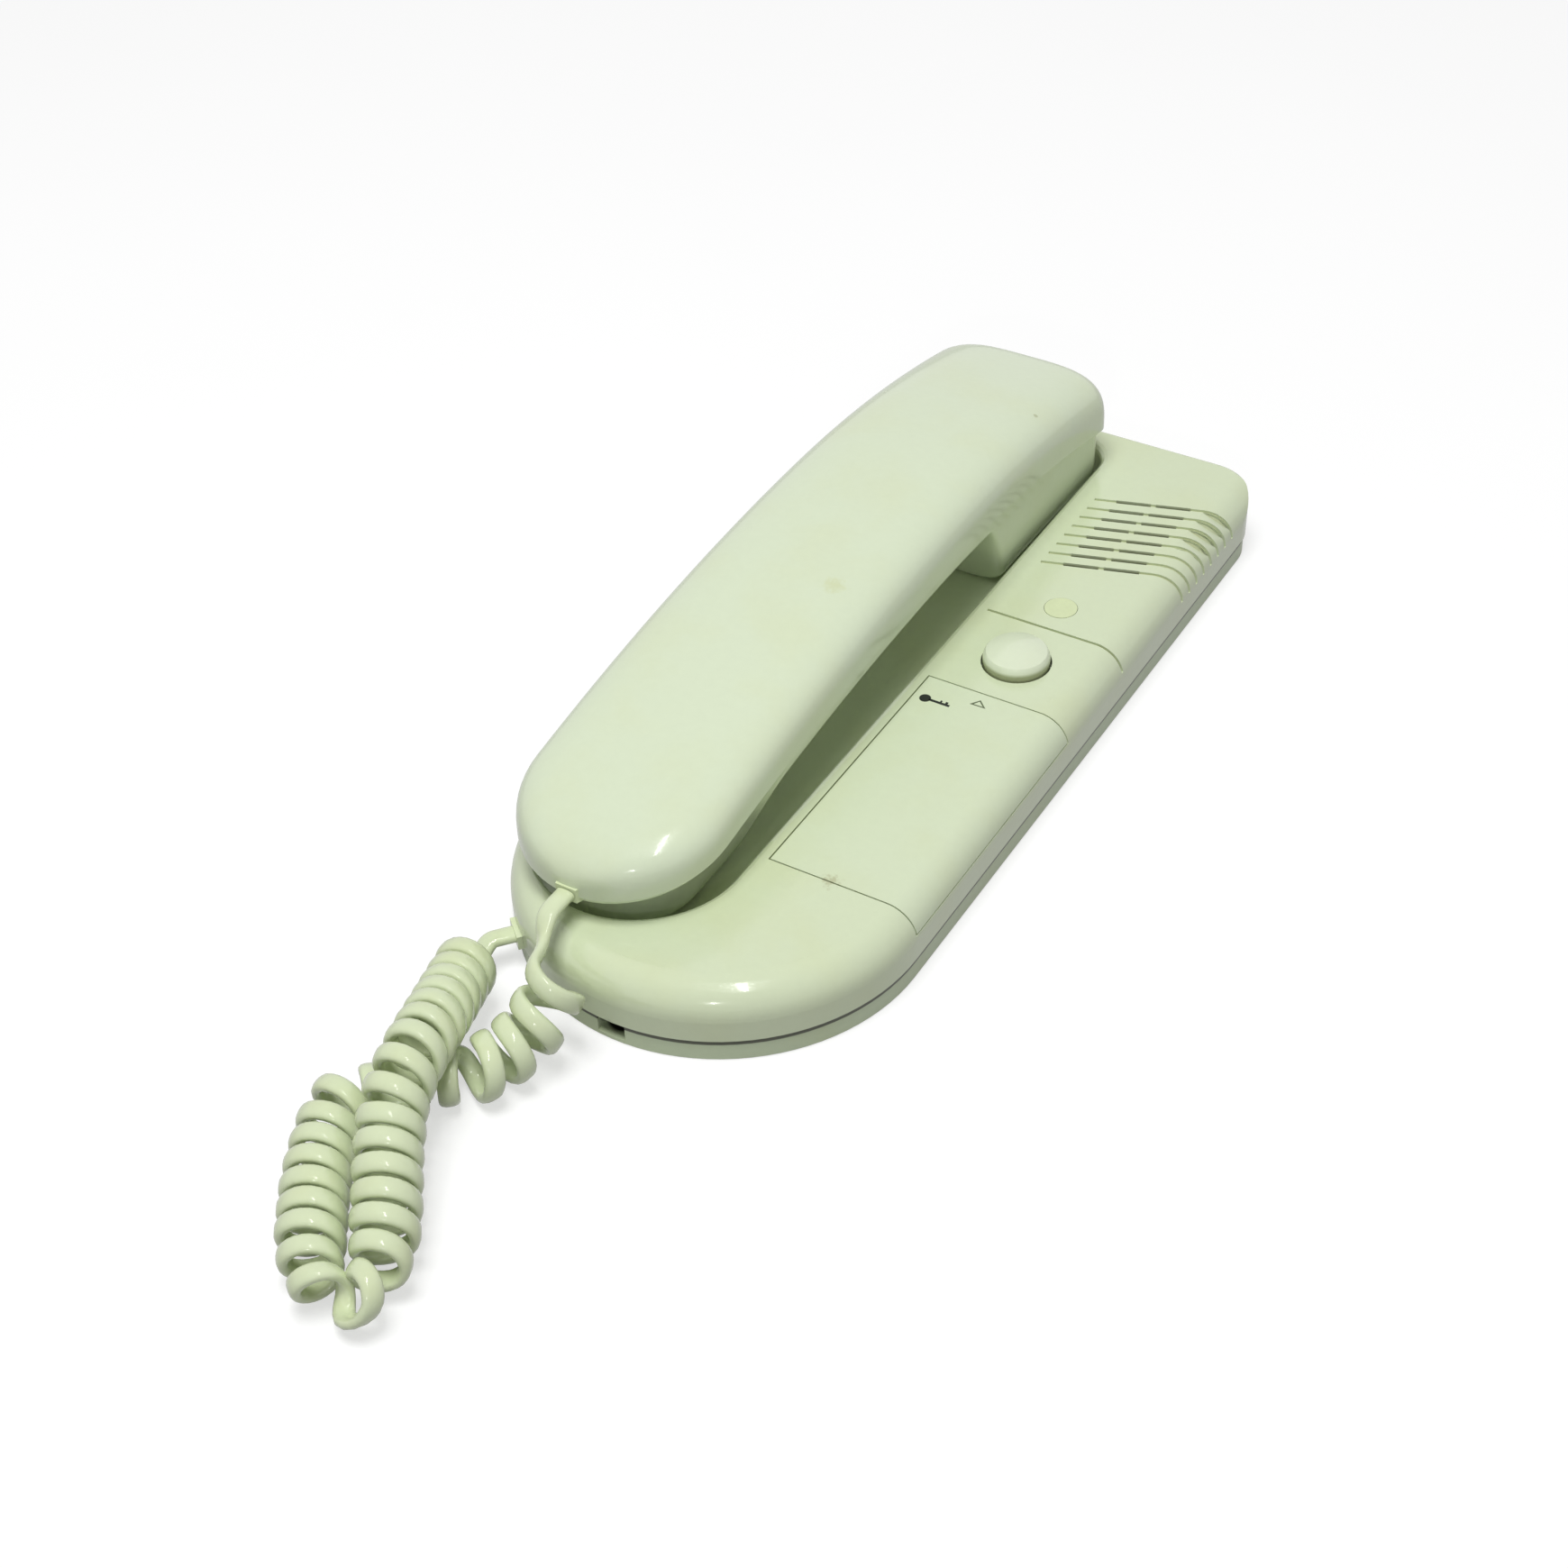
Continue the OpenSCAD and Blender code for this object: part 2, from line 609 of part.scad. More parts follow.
// Solid form of the base between two heights, drawn in by an inset
module base_form(inset, low, high) {
    half = base_w / 2 - inset;
    r = corner_r - inset;
    er = edge_r - inset;
    end_r = max(end_edge_r - inset, end_edge_least);
    side_form(half, er, low, high, arc_y, corner_y);
    translate([0, arc_y, 0])
        rotate([0, 0, 180])
            rotate_extrude(angle = 180)
                edge_profile(half, low, high, er);
    intersection() {
        side_form(half, er, low, high, corner_y, corner_y + corner_r);
        union() {
            translate([-half + r, corner_y, 0])
                rotate([90, 0, 90])
                    linear_extrude(2 * (half - r))
                        edge_profile(r, low, high, end_r);
            for (s = [0, 1])
                translate([(1 - 2 * s) * (half - r), corner_y, 0])
                    rotate([0, 0, 90 * s])
                        rotate_extrude(angle = 90)
                            edge_profile(r, low, high, end_r);
        }
    }
}

// Cutter that takes its children away from the base's outside down to an even depth
module skin_cut(depth) {
    difference() {
        children();
        base_form(depth, 0, base_h - depth);
    }
}

// Long cup with a half-round mouth end, grown from the floor line by a reach low down and one at its top
module cradle_cup(low, low_reach, top_reach) {
    top = base_h + over;
    corner_x = cradle_half - cradle_corner_r;
    end_y = cradle_end_y - cradle_corner_r;
    translate([cradle_x, cradle_mouth_y, low])
        cylinder(h = top - low, r1 = cradle_half + low_reach, r2 = cradle_half + top_reach);
    translate([cradle_x, end_y, 0])
        rotate([90, 0, 0])
            linear_extrude(end_y - cradle_mouth_y)
                polygon([[-cradle_half - low_reach, low], [cradle_half + low_reach, low],
                    [cradle_half + top_reach, top], [-cradle_half - top_reach, top]]);
    translate([cradle_x - corner_x, end_y, 0])
        rotate([90, 0, 90])
            linear_extrude(2 * corner_x)
                polygon([[-over, low], [cradle_corner_r + low_reach, low], [cradle_corner_r + top_reach, top],
                    [-over, top]]);
    for (s = [-1, 1])
        translate([cradle_x + s * corner_x, end_y, low])
            cylinder(h = top - low, r1 = cradle_corner_r + low_reach, r2 = cradle_corner_r + top_reach);
}

// How far the cradle's side stands out from its floor line at a height
function cradle_side(z) = cradle_draft * (z - cradle_z) / (base_h - cradle_z);

// Hollow of the cradle from its floor up through the lip
module cradle_form() {
    cradle_cup(cradle_z, 0, cradle_side(base_h + over));
}

// Cradle's sides and floor with their wall, square at the far end inside the base
module cradle_bed() {
    low = cradle_z - cradle_wall;
    top = base_h + over;
    low_half = cradle_half + cradle_side(low) + cradle_wall;
    top_half = cradle_half + cradle_side(top) + cradle_wall;
    far_y = cradle_end_y + cradle_wall;
    translate([cradle_x, cradle_mouth_y, low])
        cylinder(h = top - low, r1 = low_half, r2 = top_half);
    translate([cradle_x, far_y, 0])
        rotate([90, 0, 0])
            linear_extrude(far_y - cradle_mouth_y)
                polygon([[-low_half, low], [low_half, low], [top_half, top], [-top_half, top]]);
}

// Cups that round the cradle's lip, each leaning along one facet of the rounding
module cradle_lip() {
    for (i = [1:lip_facets]) {
        lean = 90 * i / (lip_facets + 1);
        touch_z = base_h - cradle_lip_r * (1 - sin(lean));
        touch = cradle_side(base_h - cradle_lip_r) + cradle_lip_r * (1 - cos(lean));
        cradle_cup(touch_z - lip_overlap, touch - lip_overlap * tan(lean),
            touch + (base_h + over - touch_z) * tan(lean));
    }
}

// Cord relief in the base's wall with a wider collar inside, drawn with room round it
module base_relief_form(room) {
    inner = base_w / 2 - wall - relief_collar_t - relief_seat;
    translate([0, arc_y, cord_start[2] - relief_h / 2 - room])
        rotate([0, 0, base_relief_turn]) {
            translate([inner - room, -relief_w / 2 - room, 0])
                cube([base_relief_reach - inner + room, relief_w + 2 * room, relief_h + 2 * room]);
            translate([inner - room, -relief_w / 2 - relief_collar - room, 0])
                cube([relief_collar_t + 2 * room, relief_w + 2 * relief_collar + 2 * room,
                    relief_h + 2 * room]);
        }
}

// Box that the handset's cord relief fills in the mouth cup's wall, with room round it
module handset_relief_box(room) {
    translate([cord_end[0] - relief_w / 2 - room, cord_end[1] - over, cord_end[2] - relief_h / 2 - room])
        cube([relief_w + 2 * room, handset_relief_l + over + room, relief_h + 2 * room]);
}

// Region of the name panel, with room round it
module name_region(room) {
    translate([panel_x - room, panel_low_y - room, line_z - room])
        cube([base_w, panel_top_y - panel_low_y + 2 * room, base_h]);
}

// Upright slab along one grille groove
module grille_slab(i, from, length, width, low) {
    translate([grille_x, grille_y + (i - (grille_n - 1) / 2) * grille_pitch, low])
        rotate([0, 0, grille_tilt])
            translate([from, -width / 2, 0])
                cube([length, width, base_h + over - low]);
}

module grille_grooves() {
    for (i = [0:grille_n - 1])
        grille_slab(i, -groove_reach, groove_reach + base_w / 2, grille_w, groove_low);
}

module grille_slots() {
    for (i = [0:grille_n - 1]) {
        grille_slab(i, -slot_l - slot_bridge / 2, slot_l, slot_w, panel_under - over);
        grille_slab(i, slot_bridge / 2, slot_l, slot_w, panel_under - over);
    }
}

module back_cover() {
    color(ivory)
        difference() {
            union() {
                difference() {
                    linear_extrude(back_h)
                        base_plan(back_inset);
                    translate([0, 0, back_wall])
                        linear_extrude(back_h)
                            base_plan(back_inset + back_wall);
                }
                difference() {
                    translate([0, 0, back_wall - eps])
                        linear_extrude(back_h + lip_h - back_wall)
                            base_plan(wall + lip_gap);
                    translate([0, 0, back_wall - over])
                        linear_extrude(back_h + lip_h)
                            base_plan(wall + lip_gap + lip_t);
                }
                for (p = board_spots)
                    translate([p[0], p[1], back_wall - eps])
                        cylinder(h = post_h + eps, d = post_d);
                translate([hook_x, hook_y, back_wall - eps])
                    cylinder(h = hook_pin_h, d = hook_pin_d);
            }
            for (s = [-1, 1])
                translate([cradle_x, s * fix_spacing / 2, -over])
                    cylinder(h = back_wall + 2 * over, d = fix_d);
            translate([cradle_x - window_w / 2, -window_l / 2, -over])
                cube([window_w, window_l, back_wall + 2 * over]);
            for (p = board_spots)
                translate([p[0], p[1], back_wall / 2])
                    cylinder(h = board_z, d = board_screw_d + 0.1);
            translate([-latch_slot_w / 2, -base_l / 2 - over, latch_floor])
                cube([latch_slot_w, wall + lip_t + 2 * over, back_h + lip_h]);
            base_relief_form(2 * relief_gap);
        }
}

module front_housing() {
    color(ivory)
        difference() {
            union() {
                difference() {
                    base_form(0, housing_low, base_h);
                    base_form(wall, 0, panel_under);
                }
                intersection() {
                    cradle_bed();
                    base_form(eps, housing_low, base_h - eps);
                }
                translate([speaker_x, grille_y, panel_under - speaker_rim_t])
                    difference() {
                        cylinder(h = speaker_rim_t + eps, d = speaker_d + 2 * (rib_gap + rib_t));
                        translate([0, 0, -over])
                            cylinder(h = speaker_rim_t + over, d = speaker_d + 2 * rib_gap);
                    }
                translate([-latch_w / 2, -base_l / 2 + wall - eps, housing_low - latch_drop])
                    cube([latch_w, latch_t, latch_drop + wall]);
            }
            cradle_form();
            cradle_lip();
            skin_cut(panel_t + panel_seat)
                name_region(line_w);
            skin_cut(2 * line_w)
                translate([panel_x, field_y - line_w, line_z])
                    cube([base_w, 2 * line_w, base_h]);
            skin_cut(grille_depth)
                grille_grooves();
            grille_slots();
            translate([button_x, button_y, panel_under - over])
                cylinder(h = wall + 2 * over, d = button_d + 2 * button_gap);
            translate([button_x, lens_y, panel_under - over])
                cylinder(h = wall + 2 * over, d = lens_d + 0.2);
            for (p = clamp_spots)
                translate([p[0], p[1], panel_under - over])
                    cylinder(h = over + wall / 2 + 0.3, d = board_screw_d + 0.1);
            translate([hook_x, hook_y, cradle_z - cradle_wall - over])
                cylinder(h = cradle_wall + 2 * over, d = hook_d + 2 * hook_gap);
            base_relief_form(relief_gap);
        }
}

module name_panel() {
    color(ivory)
        intersection() {
            difference() {
                base_form(0, housing_low, base_h);
                base_form(panel_t, 0, base_h - panel_t);
            }
            name_region(0);
        }
}

module indicator_lens() {
    color([0.86, 0.84, 0.62])
        translate([button_x, lens_y, 0]) {
            translate([0, 0, panel_under - 0.9])
                cylinder(h = 0.8, d = lens_d + 2);
            translate([0, 0, panel_under - 0.2])
                cylinder(h = wall + 0.25, d = lens_d);
        }
}

module indicator_led() {
    color([0.75, 0.2, 0.15])
        translate([button_x, lens_y, board_top]) {
            cylinder(h = 1, d = 5.8);
            cylinder(h = 4, d = 4.9);
            translate([0, 0, 4])
                sphere(d = 4.9);
        }
}

module main_board() {
    color([0.12, 0.35, 0.2])
        difference() {
            translate([board_x0, board_y0, board_z])
                cube([board_x1 - board_x0, board_y1 - board_y0, board_t]);
            for (p = board_spots)
                translate([p[0], p[1], board_z - over])
                    cylinder(h = board_t + 2 * over, d = board_screw_d + 0.4);
        }
}

module board_screws() {
    color(steel)
        for (p = board_spots)
            translate([p[0], p[1], board_top]) {
                translate([0, 0, -board_t - post_h])
                    cylinder(h = board_t + post_h + eps, d = board_screw_d);
                difference() {
                    cylinder(h = board_head_h, d = board_head_d);
                    translate([-board_head_d, -0.3, board_head_h - 0.6])
                        cube([2 * board_head_d, 0.6, over]);
                }
            }
}

// Four-way screw terminal near the board's edge by the cable window
terminal_n = 4;
terminal_pitch = 5;
terminal_w = 8;
terminal_h = 7;
terminal_y = -32;
terminal_x = board_x0 + 1;
clamp_x = terminal_x + terminal_w * 0.55;
clamp_floor = 3;
clamp_bore_d = 3.6;
entry_w = 3;
entry_z = 1;
function clamp_y(i) = terminal_y + (i + 0.5) * terminal_pitch;
module terminal_block() {
    color([0.1, 0.3, 0.55])
        difference() {
            translate([terminal_x, terminal_y, board_top])
                cube([terminal_w, terminal_n * terminal_pitch, terminal_h]);
            for (i = [0:terminal_n - 1]) {
                translate([clamp_x, clamp_y(i), board_top + clamp_floor])
                    cylinder(h = terminal_h, d = clamp_bore_d);
                translate([terminal_x - over, clamp_y(i) - entry_w / 2, board_top + entry_z])
                    cube([terminal_w / 2 + over, entry_w, entry_w]);
            }
        }
}

clamp_screw_h = 2.6;
clamp_slot_w = 0.7;
clamp_slot_h = 0.8;
module terminal_screws() {
    color(steel)
        for (i = [0:terminal_n - 1])
            translate([clamp_x, clamp_y(i), board_top + clamp_floor])
                difference() {
                    cylinder(h = clamp_screw_h, d = clamp_bore_d - 2 * screw_gap);
                    translate([-clamp_bore_d, -clamp_slot_w / 2, clamp_screw_h - clamp_slot_h])
                        cube([2 * clamp_bore_d, clamp_slot_w, clamp_screw_h]);
                }
}

module door_switch() {
    color(dark)
        translate([button_x, button_y, board_top]) {
            translate([-switch_w / 2, -switch_w / 2, 0])
                cube([switch_w, switch_w, switch_h]);
            cylinder(h = switch_h + nib_h, d = nib_d);
        }
}

// Transformer: two end plates and a wound waist between them
coil_w = 13;
coil_l = 12;
coil_plate = 2;
coil_lid = 1.4;
coil_waist_h = 4;
coil_inset = 2;
coil_x = board_x1 - coil_w - coil_inset;
coil_y = board_y0 + 10;
module line_transformer() {
    color([0.75, 0.62, 0.3])
        translate([coil_x, coil_y, board_top]) {
            cube([coil_w, coil_l, coil_plate]);
            translate([coil_inset, coil_inset, coil_plate - eps])
                cube([coil_w - 2 * coil_inset, coil_l - 2 * coil_inset, coil_waist_h + 2 * eps]);
            translate([0, 0, coil_plate + coil_waist_h])
                cube([coil_w, coil_l, coil_lid]);
        }
}

// Row of round capacitors along the board's outer edge
cap_n = 3;
cap_d = 6.3;
cap_h = 7;
cap_pitch = 9;
cap_ring_r = 0.35;
cap_ring_z = 1.2;
cap_x = board_x1 - cap_d;
cap_y = coil_y + coil_l + cap_d;
module capacitors() {
    color([0.15, 0.17, 0.3])
        for (i = [0:cap_n - 1])
            translate([cap_x, cap_y + i * cap_pitch, board_top])
                difference() {
                    cylinder(h = cap_h, d = cap_d);
                    translate([0, 0, cap_ring_z])
                        rotate_extrude()
                            translate([cap_d / 2, 0])
                                circle(cap_ring_r);
                }
}

chip_w = 6.4;
chip_l = 9.6;
chip_h = 3.4;
chip_mark_r = 0.9;
chip_y = cap_y + cap_n * cap_pitch;
module amplifier_chip() {
    color(dark)
        translate([cap_x - chip_w / 2, chip_y, board_top])
            difference() {
                cube([chip_w, chip_l, chip_h]);
                translate([chip_w / 2, chip_l, chip_h])
                    cylinder(h = chip_mark_r, r = chip_mark_r, center = true);
            }
}

// Speaker basket, seen from above: a rim under the panel and a stepped cup that holds the magnet
module speaker_frame() {
    hole_r = magnet_d / 2 - magnet_hold;
    foot_r = speaker_d / 2 - basket_in;
    rim_r = speaker_d / 2;
    top = speaker_h - speaker_room;
    color(steel)
        translate([speaker_x, grille_y, panel_under - speaker_h])
            rotate_extrude()
                polygon([[hole_r, 0], [foot_r, 0], [rim_inner_r + basket_t, speaker_h - speaker_rim_t],
                    [rim_r, speaker_h - speaker_rim_t], [rim_r, top], [rim_inner_r, top],
                    [foot_r - basket_slant, basket_t], [hole_r, basket_t]]);
}

module speaker_cone() {
    cone_r = rim_inner_r - cone_in;
    top = speaker_h - cone_sink;
    color([0.25, 0.23, 0.2])
        translate([speaker_x, grille_y, panel_under - speaker_h])
            rotate_extrude()
                polygon([[0, cone_low + dust_rise], [dust_r, cone_low], [cone_r, top - cone_t], [cone_r, top],
                    [dust_r, cone_low + cone_t], [0, cone_low + dust_rise + cone_t]]);
}

module speaker_magnet() {
    color(dark)
        translate([speaker_x, grille_y, panel_under - speaker_h - magnet_h])
            cylinder(h = magnet_h, d = magnet_d);
}

module speaker_screws() {
    color(steel)
        for (p = clamp_spots)
            translate([p[0], p[1], panel_under - speaker_rim_t]) {
                translate([0, 0, -clamp_h])
                    cylinder(h = clamp_h, d = clamp_d);
                translate([0, 0, -eps])
                    cylinder(h = speaker_rim_t + wall / 2, d = board_screw_d);
            }
}

module hook_switch() {
    color(dark) {
        translate([hook_x + hook_flange_d / 2 + hook_switch_gap, hook_y - hook_switch_w / 2, back_wall])
            cube([hook_switch_l, hook_switch_w, hook_switch_h]);
        translate([hook_x + hook_flange_d / 2 + hook_switch_gap - blade_l + eps, hook_y - blade_w / 2,
            back_wall])
            cube([blade_l, blade_w, blade_t]);
    }
}

module hook_plunger() {
    color(ivory)
        translate([hook_x, hook_y, 0])
            difference() {
                union() {
                    translate([0, 0, hook_low])
                        cylinder(h = hook_top - hook_low, d = hook_d);
                    translate([0, 0, hook_low])
                        cylinder(h = hook_flange_t, d = hook_flange_d);
                }
                translate([0, 0, hook_low - over])
                    cylinder(h = hook_top - hook_roof - hook_low + over, d = hook_bore_d);
            }
}

// Round wire spring as one unbroken helix whose ends lie flat
module wire_spring(low, high, radius, wire, turns) {
    steps = turns * curl_rings;
    places = [for (i = [0:steps]) let (a = 360 * i / curl_rings, t = smooth((i / steps - 0.02) / 0.96))
        [radius * cos(a), radius * sin(a), mix(low + wire / 2, high - wire / 2, mix(i / steps, t, 0.15))]];
    outward = [for (p = places) unit([p[0], p[1], 0])];
    rings = strand_rings(places, outward, wire, wire * 0.9);
    echo(spring_gap = least_gap(rings, 3 * wire));
    tube(rings);
}

module hook_spring() {
    color(steel)
        translate([hook_x, hook_y, 0])
            wire_spring(back_wall + 0.15, hook_top - hook_roof - 0.15, hook_spring_r, hook_spring_wire, 4);
}

module door_button() {
    color(ivory)
        translate([button_x, button_y, 0]) {
            rotate_extrude()
                difference() {
                    intersection() {
                        union() {
                            edge_profile(button_d / 2, button_low, button_top, button_edge_r);
                            translate([0, button_low])
                                square([button_d / 2 + button_flange, button_flange_t]);
                        }
                        translate([0, button_top - button_dome_r])
                            circle(button_dome_r, $fn = 128);
                        translate([0, 0])
                            square([button_d, button_top + over]);
                    }
                    translate([0, button_low - over])
                        square([button_d / 2 - button_skirt, button_top - button_roof - button_low + over]);
                }
            translate([0, 0, stem_low])
                cylinder(h = button_top - button_roof - stem_low + eps, d = stem_d);
        }
}

module button_spring() {
    color(steel)
        translate([button_x, button_y, 0])
            wire_spring(board_top + switch_h + 0.15, button_top - button_roof - 0.15, button_spring_r,
                button_spring_wire, 4);
}

module handset_outer_shell() {
    color(ivory)
        difference() {
            union() {
                wall_between([for (s = stations(0, crown_end_power)) crown_section(s, 0)],
                    [for (s = stations(shell_wall, crown_end_power)) crown_section(s, shell_wall)]);
                for (y = grip_screw_ys)
                    translate([cradle_x, y, grip_boss_z(y) + part_gap])
                        cylinder(h = crown_line(y) - shell_wall / 2 - grip_boss_z(y) - part_gap,
                            d = grip_boss_d - grip_boss_step);
            }
            handset_relief_box(relief_gap);
            for (y = grip_screw_ys)
                translate([cradle_x, y, grip_boss_z(y) - over])
                    cylinder(h = grip_boss_h + grip_screw_bite + 2 * over, d = grip_screw_d + screw_gap);
        }
}

// Top of the inner shell's screw boss
function grip_boss_z(y) = under_line(y) + grip_boss_h;

module handset_inner_shell() {
    color(ivory)
        difference() {
            union() {
                wall_between([for (s = stations(shell_step + shell_wall, end_power)) hull_inner_section(s)],
                    [for (s = stations(shell_step, end_power)) hull_outer_section(s)]);
                for (y = grip_screw_ys)
                    translate([cradle_x, y, under_line(y) + shell_wall / 2])
                        cylinder(h = grip_boss_h - shell_wall / 2, d = grip_boss_d);
            }
            for (y = grip_screw_ys)
                translate([cradle_x, y, under_line(y) - 2 * over]) {
                    cylinder(h = 2 * over + grip_head_sink + grip_head_h, d = grip_head_d + 0.6);
                    cylinder(h = 3 * over + grip_boss_h, d = grip_screw_d + 0.6);
                }
            sound_holes(receiver_y, [[0, 1], [5, 6], [10, 12]]);
            sound_holes(mouth_y, [[0, 1], [4.5, 6]]);
            handset_relief_box(relief_gap);
        }
}

// Rings of sound holes through a cup's floor: each ring is [radius, count]
module sound_holes(y, rings) {
    for (r = rings)
        for (i = [0:r[1] - 1])
            translate([cradle_x + r[0] * cos(360 * i / r[1]), y + r[0] * sin(360 * i / r[1]), cup_z - over])
                cylinder(h = shell_wall + 2 * over, d = sound_d);
}

module receiver_gasket() {
    color(dark)
        translate([cradle_x, receiver_y, capsule_z])
            difference() {
                cylinder(h = gasket_t, d = receiver_d);
                translate([0, 0, -over])
                    cylinder(h = gasket_t + 2 * over, d = receiver_d - 6);
            }
}

module receiver_capsule() {
    color(steel)
        translate([cradle_x, receiver_y, capsule_z + gasket_t])
            difference() {
                union() {
                    cylinder(h = receiver_h * 0.45, d = receiver_d);
                    cylinder(h = receiver_h, d = receiver_d * 0.72);
                }
                translate([0, 0, -over])
                    cylinder(h = over + 0.8, d = receiver_d - 5);
            }
}

module microphone_boot() {
    color(dark)
        translate([cradle_x, mouth_y, capsule_z])
            difference() {
                cylinder(h = mic_h + 1, d = mic_d + 2 * boot_wall);
                translate([0, 0, 1])
                    cylinder(h = mic_h + over, d = mic_d + 0.1);
                translate([0, 0, -over])
                    cylinder(h = 3 * over, d = mic_d - 3);
            }
}

module microphone_capsule() {
    color(steel)
        translate([cradle_x, mouth_y, capsule_z + 1])
            cylinder(h = mic_h, d = mic_d);
}

module handset_screws() {
    color(steel)
        for (y = grip_screw_ys)
            translate([cradle_x, y, under_line(y) + grip_head_sink]) {
                difference() {
                    cylinder(h = grip_head_h, d = grip_head_d);
                    translate([-grip_head_d, -0.4, -over])
                        cube([2 * grip_head_d, 0.8, over + 0.7]);
                }
                cylinder(h = grip_head_h + grip_boss_h + grip_screw_bite, d = grip_screw_d);
            }
}

module handset_cord_relief() {
    color(ivory)
        translate([cord_end[0], cord_end[1], cord_end[2] - relief_h / 2])
            linear_extrude(relief_h)
                polygon([[-cord_w / 2 - relief_lip, 0], [cord_w / 2 + relief_lip, 0],
                    [relief_w / 2, relief_taper], [relief_w / 2, handset_relief_l],
                    [-relief_w / 2, handset_relief_l], [-relief_w / 2, relief_taper]]);
}

module base_cord_relief() {
    color(ivory)
        base_relief_form(0);
}

module curly_cord() {
    rings = strand_rings(cord_points, cord_outward, cord_w, cord_t);
    echo(cord_curls = curl_last / curl_rings, cord_rings = len(rings));
    echo(cord_length = length_of(cord_points), cord_gap = least_gap(rings, 2 * cord_w));
    echo(cord_low = min([for (r = rings) for (p = r) p[2]]));
    color(ivory)
        tube(rings);
}

function length_of(points) = [for (i = 0, s = 0; i < len(points);
    s = s + (i + 1 < len(points) ? norm(points[i + 1] - points[i]) : 0), i = i + 1) s][len(points) - 1];

back_cover();
front_housing();
name_panel();
indicator_lens();
indicator_led();
main_board();
board_screws();
terminal_block();
terminal_screws();
door_switch();
line_transformer();
capacitors();
amplifier_chip();
speaker_frame();
speaker_cone();
speaker_magnet();
speaker_screws();
hook_switch();
hook_plunger();
hook_spring();
door_button();
button_spring();
handset_outer_shell();
handset_inner_shell();
receiver_capsule();
receiver_gasket();
microphone_capsule();
microphone_boot();
handset_screws();
handset_cord_relief();
base_cord_relief();
curly_cord();
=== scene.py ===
"""Looks of a wall door phone: camera, curly cord, handset shells, prints, finishes and light."""
import json
import math

import bmesh
import bpy
from mathutils import Matrix, Vector

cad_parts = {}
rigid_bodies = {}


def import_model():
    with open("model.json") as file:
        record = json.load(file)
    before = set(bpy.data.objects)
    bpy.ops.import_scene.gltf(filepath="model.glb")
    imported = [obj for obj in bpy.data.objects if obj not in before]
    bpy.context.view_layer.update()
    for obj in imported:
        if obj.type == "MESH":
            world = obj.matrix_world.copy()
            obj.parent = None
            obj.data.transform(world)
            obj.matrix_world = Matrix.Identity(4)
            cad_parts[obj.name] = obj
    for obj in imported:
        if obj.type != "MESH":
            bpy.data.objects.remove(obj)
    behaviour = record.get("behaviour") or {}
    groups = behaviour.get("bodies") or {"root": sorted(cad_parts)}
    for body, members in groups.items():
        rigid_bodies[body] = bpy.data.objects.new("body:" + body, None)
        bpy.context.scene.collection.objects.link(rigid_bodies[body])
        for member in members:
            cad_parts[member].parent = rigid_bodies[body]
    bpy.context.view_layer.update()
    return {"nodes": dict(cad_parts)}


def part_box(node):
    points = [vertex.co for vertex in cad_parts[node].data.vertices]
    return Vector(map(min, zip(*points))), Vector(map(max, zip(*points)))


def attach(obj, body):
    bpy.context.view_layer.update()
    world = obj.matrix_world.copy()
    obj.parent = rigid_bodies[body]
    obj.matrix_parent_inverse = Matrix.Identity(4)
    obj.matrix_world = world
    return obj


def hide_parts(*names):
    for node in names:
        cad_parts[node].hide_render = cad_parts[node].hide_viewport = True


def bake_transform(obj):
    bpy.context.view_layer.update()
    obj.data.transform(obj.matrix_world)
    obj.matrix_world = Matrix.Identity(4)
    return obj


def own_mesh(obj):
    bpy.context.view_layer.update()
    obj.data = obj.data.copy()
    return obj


for leftover in list(bpy.data.objects):
    bpy.data.objects.remove(leftover, do_unlink=True)
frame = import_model()
scene = bpy.context.scene
scene.view_settings.view_transform = "Standard"
MM = 0.001
UP = Vector((0, 0, 1))


# Maths shared by the cord and the handset
def mix(a, b, t):
    return a + (b - a) * t


def smooth(t):
    u = min(max(t, 0.0), 1.0)
    return u * u * (3 - 2 * u)


def squircle(angle, power):
    """Point on a rounded square of half size 1, at an angle in degrees."""
    c, s = math.cos(math.radians(angle)), math.sin(math.radians(angle))
    reach = (abs(c) ** power + abs(s) ** power) ** (-1 / power)
    return reach * c, reach * s


# Camera at the photograph's place, in degrees, metres and lens millimetres
CAMERA_AZIMUTH = 32.28
CAMERA_ELEVATION = 40.61
CAMERA_ROLL = -2.34
CAMERA_PLACE = Vector((0.2216, -0.3929, 0.3713))
CAMERA_LENS = 59.6
CAMERA_SENSOR = 36
CAMERA_NEAREST = 0.01


def photo_camera():
    azimuth = math.radians(CAMERA_AZIMUTH)
    elevation = math.radians(CAMERA_ELEVATION)
    roll = math.radians(CAMERA_ROLL)
    right = Vector((math.cos(azimuth), math.sin(azimuth), 0))
    back = Vector((math.sin(azimuth) * math.cos(elevation),
                   -math.cos(azimuth) * math.cos(elevation), math.sin(elevation)))
    up = back.cross(right)
    side = math.cos(roll) * right + math.sin(roll) * up
    top = math.cos(roll) * up - math.sin(roll) * right
    lens = bpy.data.cameras.new("photo_camera")
    lens.lens = CAMERA_LENS
    lens.sensor_width = CAMERA_SENSOR
    lens.clip_start = CAMERA_NEAREST
    camera = bpy.data.objects.new("photo_camera", lens)
    rows = [(side[i], top[i], back[i], CAMERA_PLACE[i]) for i in range(3)]
    camera.matrix_world = Matrix(rows + [(0, 0, 0, 1)])
    scene.collection.objects.link(camera)
    scene.camera = camera


# Shader building blocks: nodes are laid out in rows as they are made
NODE_STEP = 220
NODE_COLUMNS = 6


